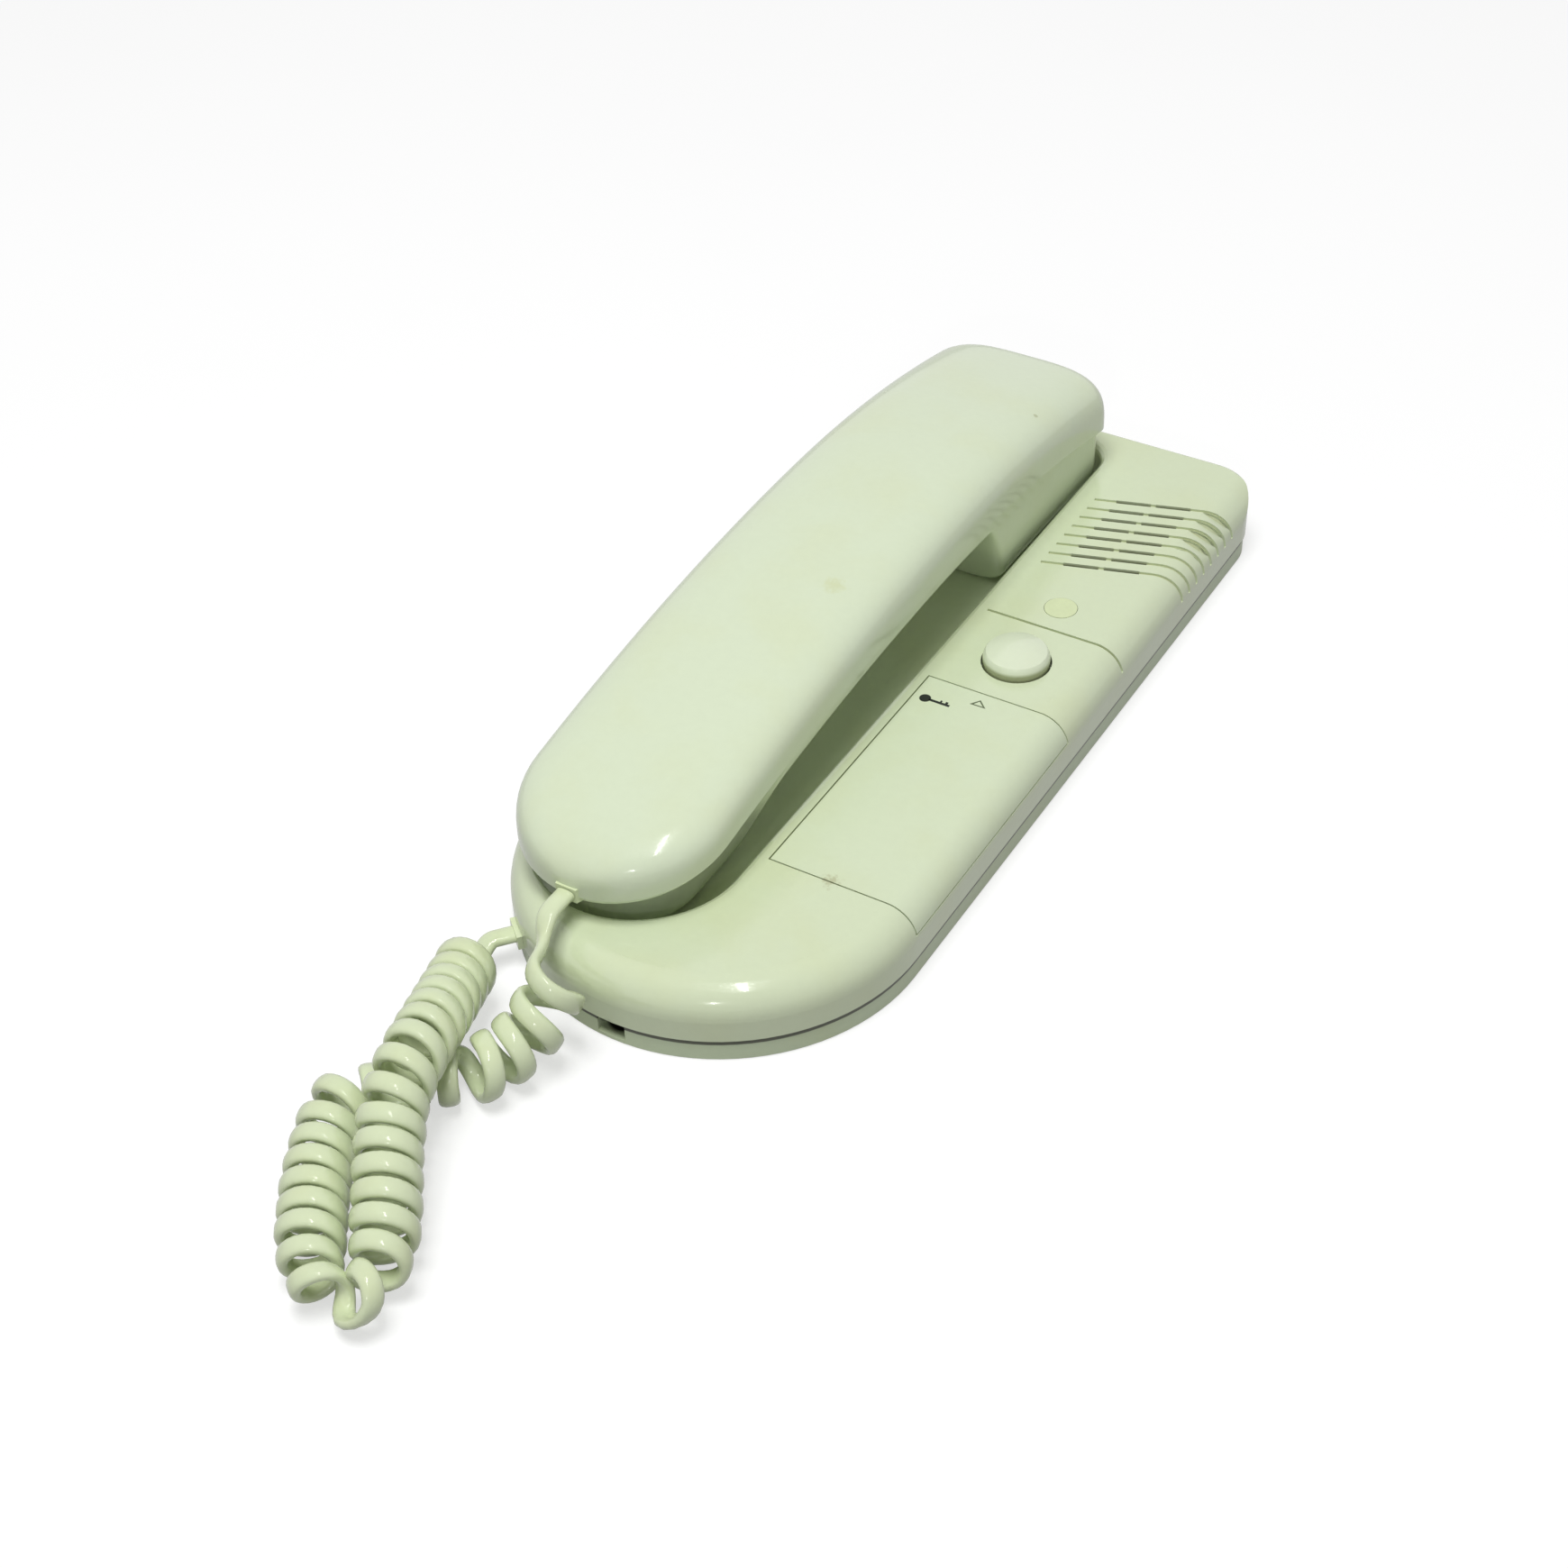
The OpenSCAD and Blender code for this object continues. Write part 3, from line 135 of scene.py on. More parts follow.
def put(tree, kind, settings=None, **sockets):
    """Adds a shader node; a socket, by name or as i and its number, takes a value or an output."""
    row, column = divmod(len(tree.nodes), NODE_COLUMNS)
    made = tree.nodes.new("ShaderNode" + kind)
    made.location = (NODE_STEP * column, -NODE_STEP * row)
    for key, value in (settings or {}).items():
        setattr(made, key, value)
    for key, value in sockets.items():
        target = made.inputs[int(key[1:]) if key[1:].isdigit() else key.replace("_", " ")]
        if isinstance(value, bpy.types.NodeSocket):
            tree.links.new(value, target)
        else:
            target.default_value = value
    return made


def maths(tree, operation, *values, clamp=False):
    sockets = {f"i{number}": value for number, value in enumerate(values)}
    return put(tree, "Math", {"operation": operation, "use_clamp": clamp}, **sockets).outputs[0]


def blend_colour(tree, share, a, b):
    return put(tree, "Mix", {"data_type": "RGBA"}, i0=share, i6=a, i7=b).outputs[2]


def rising(tree, value, low, high, start=0.0, end=1.0):
    """Soft step from start to end while the value goes from low to high."""
    return put(tree, "MapRange", {"interpolation_type": "SMOOTHSTEP"}, Value=value,
               From_Min=low, From_Max=high, To_Min=start, To_Max=end).outputs[0]


def falling(tree, value, low, high):
    return rising(tree, value, low, high, 1.0, 0.0)


def past(tree, place, limits):
    """Mask that comes in between two places in millimetres."""
    return rising(tree, place, limits[0] * MM, limits[1] * MM)


def short_of(tree, place, limits):
    """Mask that goes out between two places in millimetres."""
    return falling(tree, place, limits[0] * MM, limits[1] * MM)


def own_place(tree):
    return put(tree, "TexCoord").outputs["Object"]


def split_place(tree, where):
    return put(tree, "SeparateXYZ", Vector=where).outputs


def noise(tree, where, scale, detail=2.0, roughness=0.5):
    return put(tree, "TexNoise", Vector=where, Scale=scale, Detail=detail,
               Roughness=roughness).outputs[0]


def centred_noise(tree, where, scale, detail, roughness):
    return maths(tree, "SUBTRACT", noise(tree, where, scale, detail, roughness), 0.5)


def new_group(name, inputs, outputs):
    """Empty node group with named sockets, and the sockets of its two end nodes."""
    tree = bpy.data.node_groups.new(name, "ShaderNodeTree")
    for label, kind, value in inputs:
        socket = tree.interface.new_socket(label, in_out="INPUT", socket_type="NodeSocket" + kind)
        socket.default_value = value
    for label, kind in outputs:
        tree.interface.new_socket(label, in_out="OUTPUT", socket_type="NodeSocket" + kind)
    start = tree.nodes.new("NodeGroupInput")
    start.location.x = -NODE_STEP
    end = tree.nodes.new("NodeGroupOutput")
    end.location.x = NODE_STEP * NODE_COLUMNS
    return tree, start.outputs, end.inputs


def use_group(tree, group, **sockets):
    return put(tree, "Group", {"node_tree": group}, **sockets).outputs


# Effects that several finishes share
MOTTLE_SCALE = 520.0
SPECK_SCALE = 70.0
CLEAN_SHARE = 0.93
SPECK_TINT = (0.12, 0.11, 0.05, 1)


def aged_tint_group():
    """Soft patches of yellowing, a fine mottle and a few dark specks over a fresh colour."""
    tree, given, out = new_group(
        "aged tint",
        [("Fresh", "Color", (0.6, 0.6, 0.5, 1)), ("Yellowed", "Color", (0.6, 0.6, 0.4, 1)),
         ("Patch Scale", "Float", 60.0), ("Yellowing", "Float", 0.5), ("Mottle", "Float", 0.05),
         ("Specks", "Float", 0.5)],
        [("Color", "Color")])
    where = own_place(tree)
    patch = noise(tree, where, given["Patch Scale"], detail=3.0, roughness=0.55)
    patch = rising(tree, patch, low=0.42, high=0.72)
    patch = maths(tree, "MULTIPLY", patch, given["Yellowing"])
    tint = blend_colour(tree, patch, given["Fresh"], given["Yellowed"])
    fine = centred_noise(tree, where, MOTTLE_SCALE, detail=3.0, roughness=0.6)
    fine = maths(tree, "MULTIPLY_ADD", fine, given["Mottle"], 1.0)
    tint = put(tree, "VectorMath", {"operation": "SCALE"}, i0=tint, Scale=fine).outputs[0]
    cells = put(tree, "TexVoronoi", Vector=where, Scale=SPECK_SCALE).outputs
    chosen = put(tree, "SeparateColor", Color=cells["Color"]).outputs[0]
    chosen = maths(tree, "GREATER_THAN", chosen, CLEAN_SHARE)
    near = falling(tree, cells["Distance"], low=0.015, high=0.03)
    speck = maths(tree, "MULTIPLY", near, chosen)
    speck = maths(tree, "MULTIPLY", speck, given["Specks"])
    tree.links.new(blend_colour(tree, speck, tint, SPECK_TINT), out["Color"])
    return tree


RUB_SCALE = 45.0
WAVE_SCALE = 110.0
WAVE_HEIGHT = 3.0


def moulded_skin_group():
    """Gloss that varies a little, and the slight waviness of a moulded surface."""
    tree, given, out = new_group(
        "moulded skin",
        [("Gloss", "Float", 0.3), ("Haze", "Float", 0.1), ("Grain Scale", "Float", 900.0)],
        [("Roughness", "Float"), ("Height", "Float")])
    where = own_place(tree)
    rubbed = centred_noise(tree, where, RUB_SCALE, detail=4.0, roughness=0.6)
    haze = maths(tree, "MULTIPLY", rubbed, given["Haze"])
    rough = maths(tree, "ADD", haze, given["Gloss"], clamp=True)
    grain = noise(tree, where, given["Grain Scale"])
    wave = noise(tree, where, WAVE_SCALE, detail=1.0)
    wave = maths(tree, "MULTIPLY", wave, WAVE_HEIGHT)
    tree.links.new(rough, out["Roughness"])
    tree.links.new(maths(tree, "ADD", grain, wave), out["Height"])
    return tree


TEAR_SCALE = 900.0


def mark_group():
    """Soft-edged spot at a place, torn by noise."""
    tree, given, out = new_group(
        "surface mark",
        [("Place", "Vector", (0, 0, 0)), ("Size", "Float", 0.001), ("Edge", "Float", 0.3),
         ("Tear", "Float", 0.3)],
        [("Mask", "Float")])
    where = own_place(tree)
    gap = put(tree, "VectorMath", {"operation": "DISTANCE"}, i0=where, i1=given["Place"])
    reach = maths(tree, "DIVIDE", gap.outputs["Value"], given["Size"])
    torn = centred_noise(tree, where, TEAR_SCALE, detail=3.0, roughness=0.6)
    torn = maths(tree, "MULTIPLY", torn, given["Tear"])
    reach = maths(tree, "ADD", reach, torn)
    inner = maths(tree, "SUBTRACT", 1.0, given["Edge"])
    tree.links.new(falling(tree, reach, inner, 1.0), out["Mask"])
    return tree


# Grooves of the base's front in millimetres, as in the solid, and where their dirt and painted shade
# begin and end
EDGE_X = 37.5
EDGE_Z = 10.2
EDGE_RADIUS = 7
GRILLE_TILT = math.radians(17)
GRILLE_PITCH = 4.1
GRILLE_X = 26.2
GRILLE_Y = 71.3
GRILLE_START = GRILLE_Y - 0.5 * GRILLE_PITCH - GRILLE_X * math.tan(GRILLE_TILT)
GROOVE_DEPTHS = (0.3, 0.48)
SLOT_DEPTHS = (0.6, 0.85)
WALL_DEPTHS = (2.1, 2.25)
FIELD_LINE_Y = 30.6
FIELD_LINE_REACH = (0.6, 0.9)
SLOTS_LOW_Y = (3.5, 4)
SLOTS_RIGHT_X = (36, 37)
GRILLE_LOW_Y = (44, 45)
GROOVES_LEFT_X = (9.9, 10.1)
GROOVES_HIGH_Y = (91, 93)
GROOVES_LOW_Y = (-66, -65.5)
GROOVES_LOW_Z = (11.6, 13.2)
LAND_SHARES = (0.15, 0.18)
GRIME_SCALE = 160.0


def depth_under_edge(tree, place):
    """How far a point lies below the flat front and its rounded right edge."""
    across = maths(tree, "MAXIMUM", maths(tree, "SUBTRACT", place["X"], EDGE_X * MM), 0.0)
    above = maths(tree, "MAXIMUM", maths(tree, "SUBTRACT", place["Z"], EDGE_Z * MM), 0.0)
    squares = maths(tree, "ADD", maths(tree, "POWER", across, 2.0), maths(tree, "POWER", above, 2.0))
    return maths(tree, "SUBTRACT", EDGE_RADIUS * MM, maths(tree, "SQRT", squares))


def off_grille_lands(tree, place):
    """Mask that leaves out the lands between the grille's tilted grooves."""
    skew = maths(tree, "MULTIPLY", place["X"], math.tan(GRILLE_TILT))
    row = maths(tree, "SUBTRACT", maths(tree, "SUBTRACT", place["Y"], skew), GRILLE_START * MM)
    row = maths(tree, "PINGPONG", maths(tree, "DIVIDE", row, GRILLE_PITCH * MM), 0.5)
    land = maths(tree, "MULTIPLY", rising(tree, row, *LAND_SHARES), past(tree, place["Y"], GRILLE_LOW_Y))
    return maths(tree, "SUBTRACT", 1.0, land)


def make_groove_dirt_and_shade():
    """Dirt with some painted shade in the shallow grooves of the base's rounded front, and painted
    near-black shade in its deep slots.
    """
    tree, given, out = new_group("groove dirt and shade", [("Strength", "Float", 1.0)],
                                 [("Mask", "Float"), ("Slot Shade", "Float")])
    where = own_place(tree)
    place = split_place(tree, where)
    depth = depth_under_edge(tree, place)
    from_line = maths(tree, "ABSOLUTE", maths(tree, "SUBTRACT", place["Y"], FIELD_LINE_Y * MM))
    both = (past(tree, place["X"], GROOVES_LEFT_X), short_of(tree, place["Y"], GROOVES_HIGH_Y),
            past(tree, place["Y"], GROOVES_LOW_Y), past(tree, place["Z"], GROOVES_LOW_Z),
            short_of(tree, depth, WALL_DEPTHS), off_grille_lands(tree, place))
    slots_only = (past(tree, from_line, FIELD_LINE_REACH), past(tree, place["Y"], SLOTS_LOW_Y),
                  short_of(tree, place["X"], SLOTS_RIGHT_X))
    uneven = noise(tree, where, GRIME_SCALE, detail=3.0, roughness=0.6)
    uneven = rising(tree, uneven, low=0.3, high=0.7, start=0.6)
    sunk = past(tree, depth, GROOVE_DEPTHS)
    for share in (*both, uneven, given["Strength"]):
        sunk = maths(tree, "MULTIPLY", sunk, share)
    # Deep slots: painted near-black shade
    deep = past(tree, depth, SLOT_DEPTHS)
    for share in (*slots_only, *both):
        deep = maths(tree, "MULTIPLY", deep, share)
    tree.links.new(sunk, out["Mask"])
    tree.links.new(deep, out["Slot Shade"])
    return tree


def seam_shade_group():
    """Painted shade, with some dirt, in a band round a height, such as the seam between the base's
    halves.
    """
    tree, given, out = new_group("seam shade", [("Height", "Float", 0.005), ("Reach", "Float", 0.0003)],
                                 [("Mask", "Float")])
    place = split_place(tree, own_place(tree))
    away = maths(tree, "ABSOLUTE", maths(tree, "SUBTRACT", place["Z"], given["Height"]))
    fade = maths(tree, "MULTIPLY", given["Reach"], 2.0)
    tree.links.new(falling(tree, away, given["Reach"], fade), out["Mask"])
    return tree


aged_tint = aged_tint_group()
moulded_skin = moulded_skin_group()
surface_mark = mark_group()
groove_dirt_and_shade = make_groove_dirt_and_shade()
seam_shade = seam_shade_group()


# Finishes
# Dirt with some painted shade in the grooves, and painted near-black shade in the deep slots
GROOVE_DIRT_AND_SHADE = (0.47, 0.51, 0.285, 1)
DIRT_ROUGHNESS = 0.7
SLOT_SHADE = (0.02, 0.021, 0.013, 1)
RELIEF_DEPTH = 0.0004


def new_material(name):
    made = bpy.data.materials.new(name)
    made.use_nodes = True
    tree = made.node_tree
    shader = tree.nodes["Principled BSDF"]
    shader.location.x = NODE_STEP * NODE_COLUMNS
    tree.nodes["Material Output"].location.x = NODE_STEP * (NODE_COLUMNS + 2)
    return made, tree, shader


def add_mark(tree, tint, place, size, edge, tear, colour, share):
    spot = use_group(tree, surface_mark, Place=[v * MM for v in place], Size=size * MM, Edge=edge,
                     Tear=tear)["Mask"]
    return blend_colour(tree, maths(tree, "MULTIPLY", spot, share), tint, (*colour, 1))


def add_seam(tree, tint, height, reach, colour):
    gap = use_group(tree, seam_shade, Height=height * MM, Reach=reach * MM)["Mask"]
    return blend_colour(tree, gap, tint, (*colour, 1))


def moulded(name, fresh, yellowed, gloss=0.25, haze=0.1, patch=60.0, yellowing=0.5, mottle=0.08,
            specks=0.4, grain=900.0, relief=0.05, marks=(), dirt_and_shade_strength=0.0, seam=None, **constants):
    """Moulded plastic or rubber: aged colour, uneven gloss, fine relief, marks, dirt with some painted
    shade in grooves, painted shade in deep slots, and a band of painted shade at a seam.
    """
    made, tree, shader = new_material(name)
    tint = use_group(tree, aged_tint, Fresh=(*fresh, 1), Yellowed=(*yellowed, 1), Patch_Scale=patch,
                     Yellowing=yellowing, Mottle=mottle, Specks=specks)["Color"]
    skin = use_group(tree, moulded_skin, Gloss=gloss, Haze=haze, Grain_Scale=grain)
    rough = skin["Roughness"]
    for mark in marks:
        tint = add_mark(tree, tint, **mark)
    if dirt_and_shade_strength:
        groove_masks = use_group(tree, groove_dirt_and_shade, Strength=dirt_and_shade_strength)
        # Grooves get dirt with some painted shade; deep slots get painted near-black shade
        tint = blend_colour(tree, groove_masks["Mask"], tint, GROOVE_DIRT_AND_SHADE)
        tint = blend_colour(tree, groove_masks["Slot Shade"], tint, SLOT_SHADE)
        rough = maths(tree, "MAXIMUM", rough, maths(tree, "MULTIPLY", groove_masks["Mask"], DIRT_ROUGHNESS))
    if seam:
        # Seam band: painted shade, with some dirt
        tint = add_seam(tree, tint, **seam)
    bump = put(tree, "Bump", Strength=relief, Distance=RELIEF_DEPTH, Height=skin["Height"])
    tree.links.new(tint, shader.inputs["Base Color"])
    tree.links.new(rough, shader.inputs["Roughness"])
    tree.links.new(bump.outputs[0], shader.inputs["Normal"])
    for key, value in constants.items():
        shader.inputs[key.replace("_", " ")].default_value = value
    return made


STREAK_STRETCH = (300, 2500, 300)
STREAK_SHADE = 0.75
STREAK_RELIEF = 0.05
STREAK_DEPTH = 0.0002
DULL_SCALE = 350.0


def plated_steel(name, colour):
    """Zinc plated steel: drawn streaks and dull patches."""
    made, tree, shader = new_material(name)
    where = own_place(tree)
    drawn = put(tree, "Mapping", Vector=where, Scale=STREAK_STRETCH).outputs[0]
    streak = noise(tree, drawn, 1.0, detail=3.0, roughness=0.6)
    dull = noise(tree, where, DULL_SCALE)
    shaded = (*(c * STREAK_SHADE for c in colour), 1)
    tint = blend_colour(tree, streak, shaded, (*colour, 1))
    rough = rising(tree, dull, low=0.3, high=0.7, start=0.25, end=0.5)
    bump = put(tree, "Bump", Strength=STREAK_RELIEF, Distance=STREAK_DEPTH, Height=streak)
    tree.links.new(tint, shader.inputs["Base Color"])
    tree.links.new(rough, shader.inputs["Roughness"])
    tree.links.new(bump.outputs[0], shader.inputs["Normal"])
    shader.inputs["Metallic"].default_value = 1.0
    return made


# Marks of use, painted shade in the latch notch and round the button's foot, and seam bands of painted
# shade with some dirt, in millimetres
# Painted near-black shade inside the latch notch at the seam
LATCH_NOTCH_SHADE = dict(place=(0, -104.6, 4.9), size=5.6, edge=0.12, tear=0.0,
                   colour=(0.015, 0.016, 0.01), share=1.0)
SPECK = dict(place=(1.7, 70.5, 43.6), size=0.8, edge=0.6, tear=1.2,
             colour=(0.30, 0.31, 0.12), share=0.5)
STAIN = dict(place=(-4.5, -12.1, 46.4), size=3.4, edge=0.9, tear=1.6,
             colour=(0.58, 0.62, 0.30), share=0.45)
SCUFF = dict(place=(24.7, -64.9, 16.9), size=2.4, edge=0.9, tear=2.6,
             colour=(0.34, 0.32, 0.15), share=0.5)
# Seam bands: painted shade in the gaps between parts, with some dirt
SEAM_DIRT_AND_SHADE = (0.085, 0.095, 0.06)
HOUSING_SEAM = dict(height=4.8, reach=0.3, colour=SEAM_DIRT_AND_SHADE)
COVER_SEAM = dict(height=4.4, reach=0.3, colour=SEAM_DIRT_AND_SHADE)
# Painted shade round the lower side of the door button
BUTTON_FOOT_SHADE = dict(height=17.2, reach=1.0, colour=(0.36, 0.40, 0.23))
GLOSSY_COAT = dict(Coat_Weight=0.3, Coat_Roughness=0.04)

# Ivory plastics
handset_ivory = moulded("handset_ivory", (0.675, 0.76, 0.555), (0.66, 0.725, 0.47), gloss=0.17,
                        patch=45.0, yellowing=0.4, mottle=0.05, marks=(SPECK, STAIN), **GLOSSY_COAT)
housing_ivory = moulded("housing_ivory", (0.65, 0.73, 0.505), (0.63, 0.69, 0.42), gloss=0.17,
                        patch=45.0, yellowing=0.4, mottle=0.05, dirt_and_shade_strength=0.9,
                        marks=(LATCH_NOTCH_SHADE, SCUFF), seam=HOUSING_SEAM, **GLOSSY_COAT)
panel_ivory = moulded("panel_ivory", (0.665, 0.745, 0.535), (0.64, 0.70, 0.45), gloss=0.32,
                      yellowing=0.35, mottle=0.05, marks=(SCUFF,))
back_ivory = moulded("back_ivory", (0.60, 0.69, 0.48), (0.57, 0.64, 0.39), gloss=0.34,
                     yellowing=0.5, marks=(LATCH_NOTCH_SHADE,), seam=COVER_SEAM)
button_ivory = moulded("button_ivory", (0.72, 0.79, 0.60), (0.69, 0.75, 0.51), gloss=0.16,
                       yellowing=0.3, mottle=0.05, seam=BUTTON_FOOT_SHADE)
cord_ivory = moulded("cord_ivory", (0.67, 0.752, 0.495), (0.64, 0.705, 0.40), gloss=0.15,
                     patch=90.0, yellowing=0.4, grain=1400.0, relief=0.03, **GLOSSY_COAT)
lens_ivory = moulded("lens_ivory", (0.66, 0.74, 0.44), (0.60, 0.66, 0.34), gloss=0.2,
                     yellowing=0.6, mottle=0.16, Coat_Weight=0.3, Coat_Roughness=0.1)

# Finishes of the parts inside, and inks
red_lamp = moulded("red_lamp", (0.5, 0.03, 0.02), (0.35, 0.02, 0.02), gloss=0.12, specks=0.0,
                   relief=0.02)
board_green = moulded("board_green", (0.03, 0.17, 0.07), (0.05, 0.22, 0.08), gloss=0.35,
                      patch=220.0, grain=1600.0)
terminal_blue = moulded("terminal_blue", (0.05, 0.14, 0.36), (0.07, 0.18, 0.40), gloss=0.4,
                        patch=300.0)
black_plastic = moulded("black_plastic", (0.025, 0.026, 0.028), (0.05, 0.048, 0.045), gloss=0.38,
                        patch=260.0)
coil_tape = moulded("coil_tape", (0.55, 0.38, 0.08), (0.62, 0.46, 0.14), gloss=0.3, patch=400.0,
                    relief=0.2)
cone_paper = moulded("cone_paper", (0.05, 0.045, 0.04), (0.09, 0.08, 0.065), gloss=0.8,
                     patch=500.0, grain=2600.0, relief=0.5)
ferrite_dark = moulded("ferrite_dark", (0.05, 0.05, 0.053), (0.08, 0.075, 0.07), gloss=0.55,
                       patch=380.0, relief=0.3)
soft_rubber = moulded("soft_rubber", (0.022, 0.022, 0.022), (0.045, 0.043, 0.04), gloss=0.65,
                      patch=300.0, relief=0.2)
print_black = moulded("print_black", (0.012, 0.016, 0.012), (0.03, 0.036, 0.025), gloss=0.45,
                      patch=900.0, specks=0.0)
print_grey = moulded("print_grey", (0.10, 0.13, 0.065), (0.16, 0.19, 0.10), gloss=0.45,
                     patch=900.0, specks=0.0)
zinc_steel = plated_steel("zinc_steel", (0.62, 0.62, 0.60))

FINISHES = {
    "back_cover": back_ivory, "front_housing": housing_ivory, "name_panel": panel_ivory,
    "hook_plunger": housing_ivory, "door_button": button_ivory,
    "handset_cord_relief": cord_ivory, "base_cord_relief": cord_ivory,
    "indicator_lens": lens_ivory, "indicator_led": red_lamp,
    "main_board": board_green, "board_screws": zinc_steel,
    "terminal_block": terminal_blue, "terminal_screws": zinc_steel,
    "door_switch": black_plastic, "line_transformer": coil_tape,
    "capacitors": black_plastic, "amplifier_chip": black_plastic,
    "speaker_frame": zinc_steel, "speaker_cone": cone_paper, "speaker_magnet": ferrite_dark,
    "speaker_screws": zinc_steel, "hook_switch": black_plastic, "hook_spring": zinc_steel,
    "receiver_capsule": zinc_steel, "receiver_gasket": soft_rubber,
    "microphone_capsule": zinc_steel, "microphone_boot": soft_rubber, "handset_screws": zinc_steel}


# How pieces are made
SHARP_EDGE = 38.0


def shade(made, sharp):
    made.data.polygons.foreach_set("use_smooth", [True] * len(made.data.polygons))
    made.data.set_sharp_from_angle(angle=math.radians(sharp))


def new_piece(name, bm, material, sharp=SHARP_EDGE):
    mesh = bpy.data.meshes.new(name)
    bm.to_mesh(mesh)
    bm.free()
    mesh.materials.append(material)
    made = bpy.data.objects.new(name, mesh)
    scene.collection.objects.link(made)
    shade(made, sharp)
    return made


def pulled_through(rings):
    """Closed mesh: a loop of edges is pulled from ring to ring, and both ends are filled."""
    bm = bmesh.new()
    loop = [bm.verts.new(p) for p in rings[0]]
    edges = [bm.edges.new(pair) for pair in zip(loop, loop[1:] + loop[:1])]
    bmesh.ops.contextual_create(bm, geom=edges)
    for ring in rings[1:]:
        grown = bmesh.ops.extrude_edge_only(bm, edges=edges)["geom"]
        fresh = {g for g in grown if isinstance(g, bmesh.types.BMVert)}
        loop = [next(e.other_vert(v) for e in v.link_edges if e.other_vert(v) in fresh) for v in loop]
        for v, p in zip(loop, ring):
            v.co = p
        edges = [bm.edges.get(pair) for pair in zip(loop, loop[1:] + loop[:1])]
    bmesh.ops.contextual_create(bm, geom=edges)
    bmesh.ops.recalc_face_normals(bm, faces=bm.faces)
    return bm


# Curly cord in millimetres: the same route and leads as the solid, with finer rings
CORD_WIDTH = 4.2
CORD_THICKNESS = 2.4
CORD_POWER = 2.6
CORD_CORNERS = 16
CORD_SHARP_EDGE = 60.0
CURL_RADIUS = 5.5
CURL_GAP = 0.65
CURL_START = 60
CURL_RINGS = 8
FINE_RINGS = 3
ROUTE_STEPS = 10
BEND_REACH = 8
TIGHTEST_BEND = 0.25
CORD_ROUTE = [Vector(p) for p in (
    (-30.9, -113.3, 9.5), (-28.5, -120.9, 11), (-25.2, -129.4, 13.7), (-22, -138.3, 16.2),
    (-19.7, -145.6, 17.4), (-17.8, -151.7, 17), (-15.9, -156.7, 15.8), (-13.5, -161, 14.4),
    (-10.9, -165.3, 13.2), (-8.1, -169.4, 12), (-5.5, -173.3, 10.8), (-3, -177.4, 9.6),
    (-0.5, -181.9, 8.6), (0.6, -187.2, 8), (-1.8, -191.7, 7.6), (-7.4, -191, 7.2),
    (-13.5, -185.9, 7), (-18.6, -179.1, 7), (-23.4, -172, 7), (-27.7, -164, 7),
    (-30.7, -156.6, 7.2), (-31.3, -149.8, 6.5), (-28.1, -144.4, 4.8), (-22.4, -140.9, 4.8),
    (-17.7, -138.4, 5.8), (-14.2, -135.3, 7.1), (-11.9, -131.2, 7.6), (-10.2, -127, 8.6),
    (-8.9, -123.3, 10.4), (-8, -120, 13), (-7.4, -117.1, 16.2), (-6.7, -114.9, 19.6))]
# Where the curls are drawn in: point of the route, radius, reach of that radius and of the change
DRAWN_IN = ((14, 4.0, 6, 12), (22.5, 3.2, 5, 9))
END_STRETCH = 2.4
END_STRETCH_LENGTH = 16
START_DIR = Vector((-0.6517, -0.7585, 0)).normalized()
END_DIR = Vector((0, 1, 0))
LOW_END_CENTRE = Vector((0, -65.5, 6.8))
LOW_END_REACH = 45.5
CORD_START = LOW_END_CENTRE + LOW_END_REACH * START_DIR
CORD_END = Vector((-15.5, -99.4, 24))
CORD_END_GAP = 0.15
# How hard each lead is pulled at the relief and at its first or last curl
START_PULLS = (10, 14)
END_PULLS = (26, 16)
LEAD_STEPS = 24


def curl_axis():
    """Smooth axis of the curls: places, lengths so far, directions, bends and carried sides."""
    p = [2 * CORD_ROUTE[0] - CORD_ROUTE[1], *CORD_ROUTE, 2 * CORD_ROUTE[-1] - CORD_ROUTE[-2]]
    axis = []
    for i in range(1, len(p) - 2):
        for k in range(ROUTE_STEPS):
            t = k / ROUTE_STEPS
            axis.append(0.5 * (2 * p[i] + (p[i + 1] - p[i - 1]) * t
                               + (2 * p[i - 1] - 5 * p[i] + 4 * p[i + 1] - p[i + 2]) * t * t
                               + (3 * p[i] - p[i - 1] - 3 * p[i + 1] + p[i + 2]) * t * t * t))
    axis.append(CORD_ROUTE[-1])
    last = len(axis) - 1
    run = [0.0]
    for a, b in zip(axis, axis[1:]):
        run.append(run[-1] + (b - a).length)
    heading = [(axis[min(i + 1, last)] - axis[max(i - 1, 0)]).normalized() for i in range(last + 1)]
    bends = []
    for i in range(last + 1):
        a, b = max(i - BEND_REACH, 0), min(i + BEND_REACH, last)
        bends.append((heading[b] - heading[a]).length / (run[b] - run[a]))
    side = [heading[0].cross(UP).normalized()]
    for d in heading[1:]:
        side.append((side[-1] - side[-1].dot(d) * d).normalized())
    return axis, run, heading, bends, side


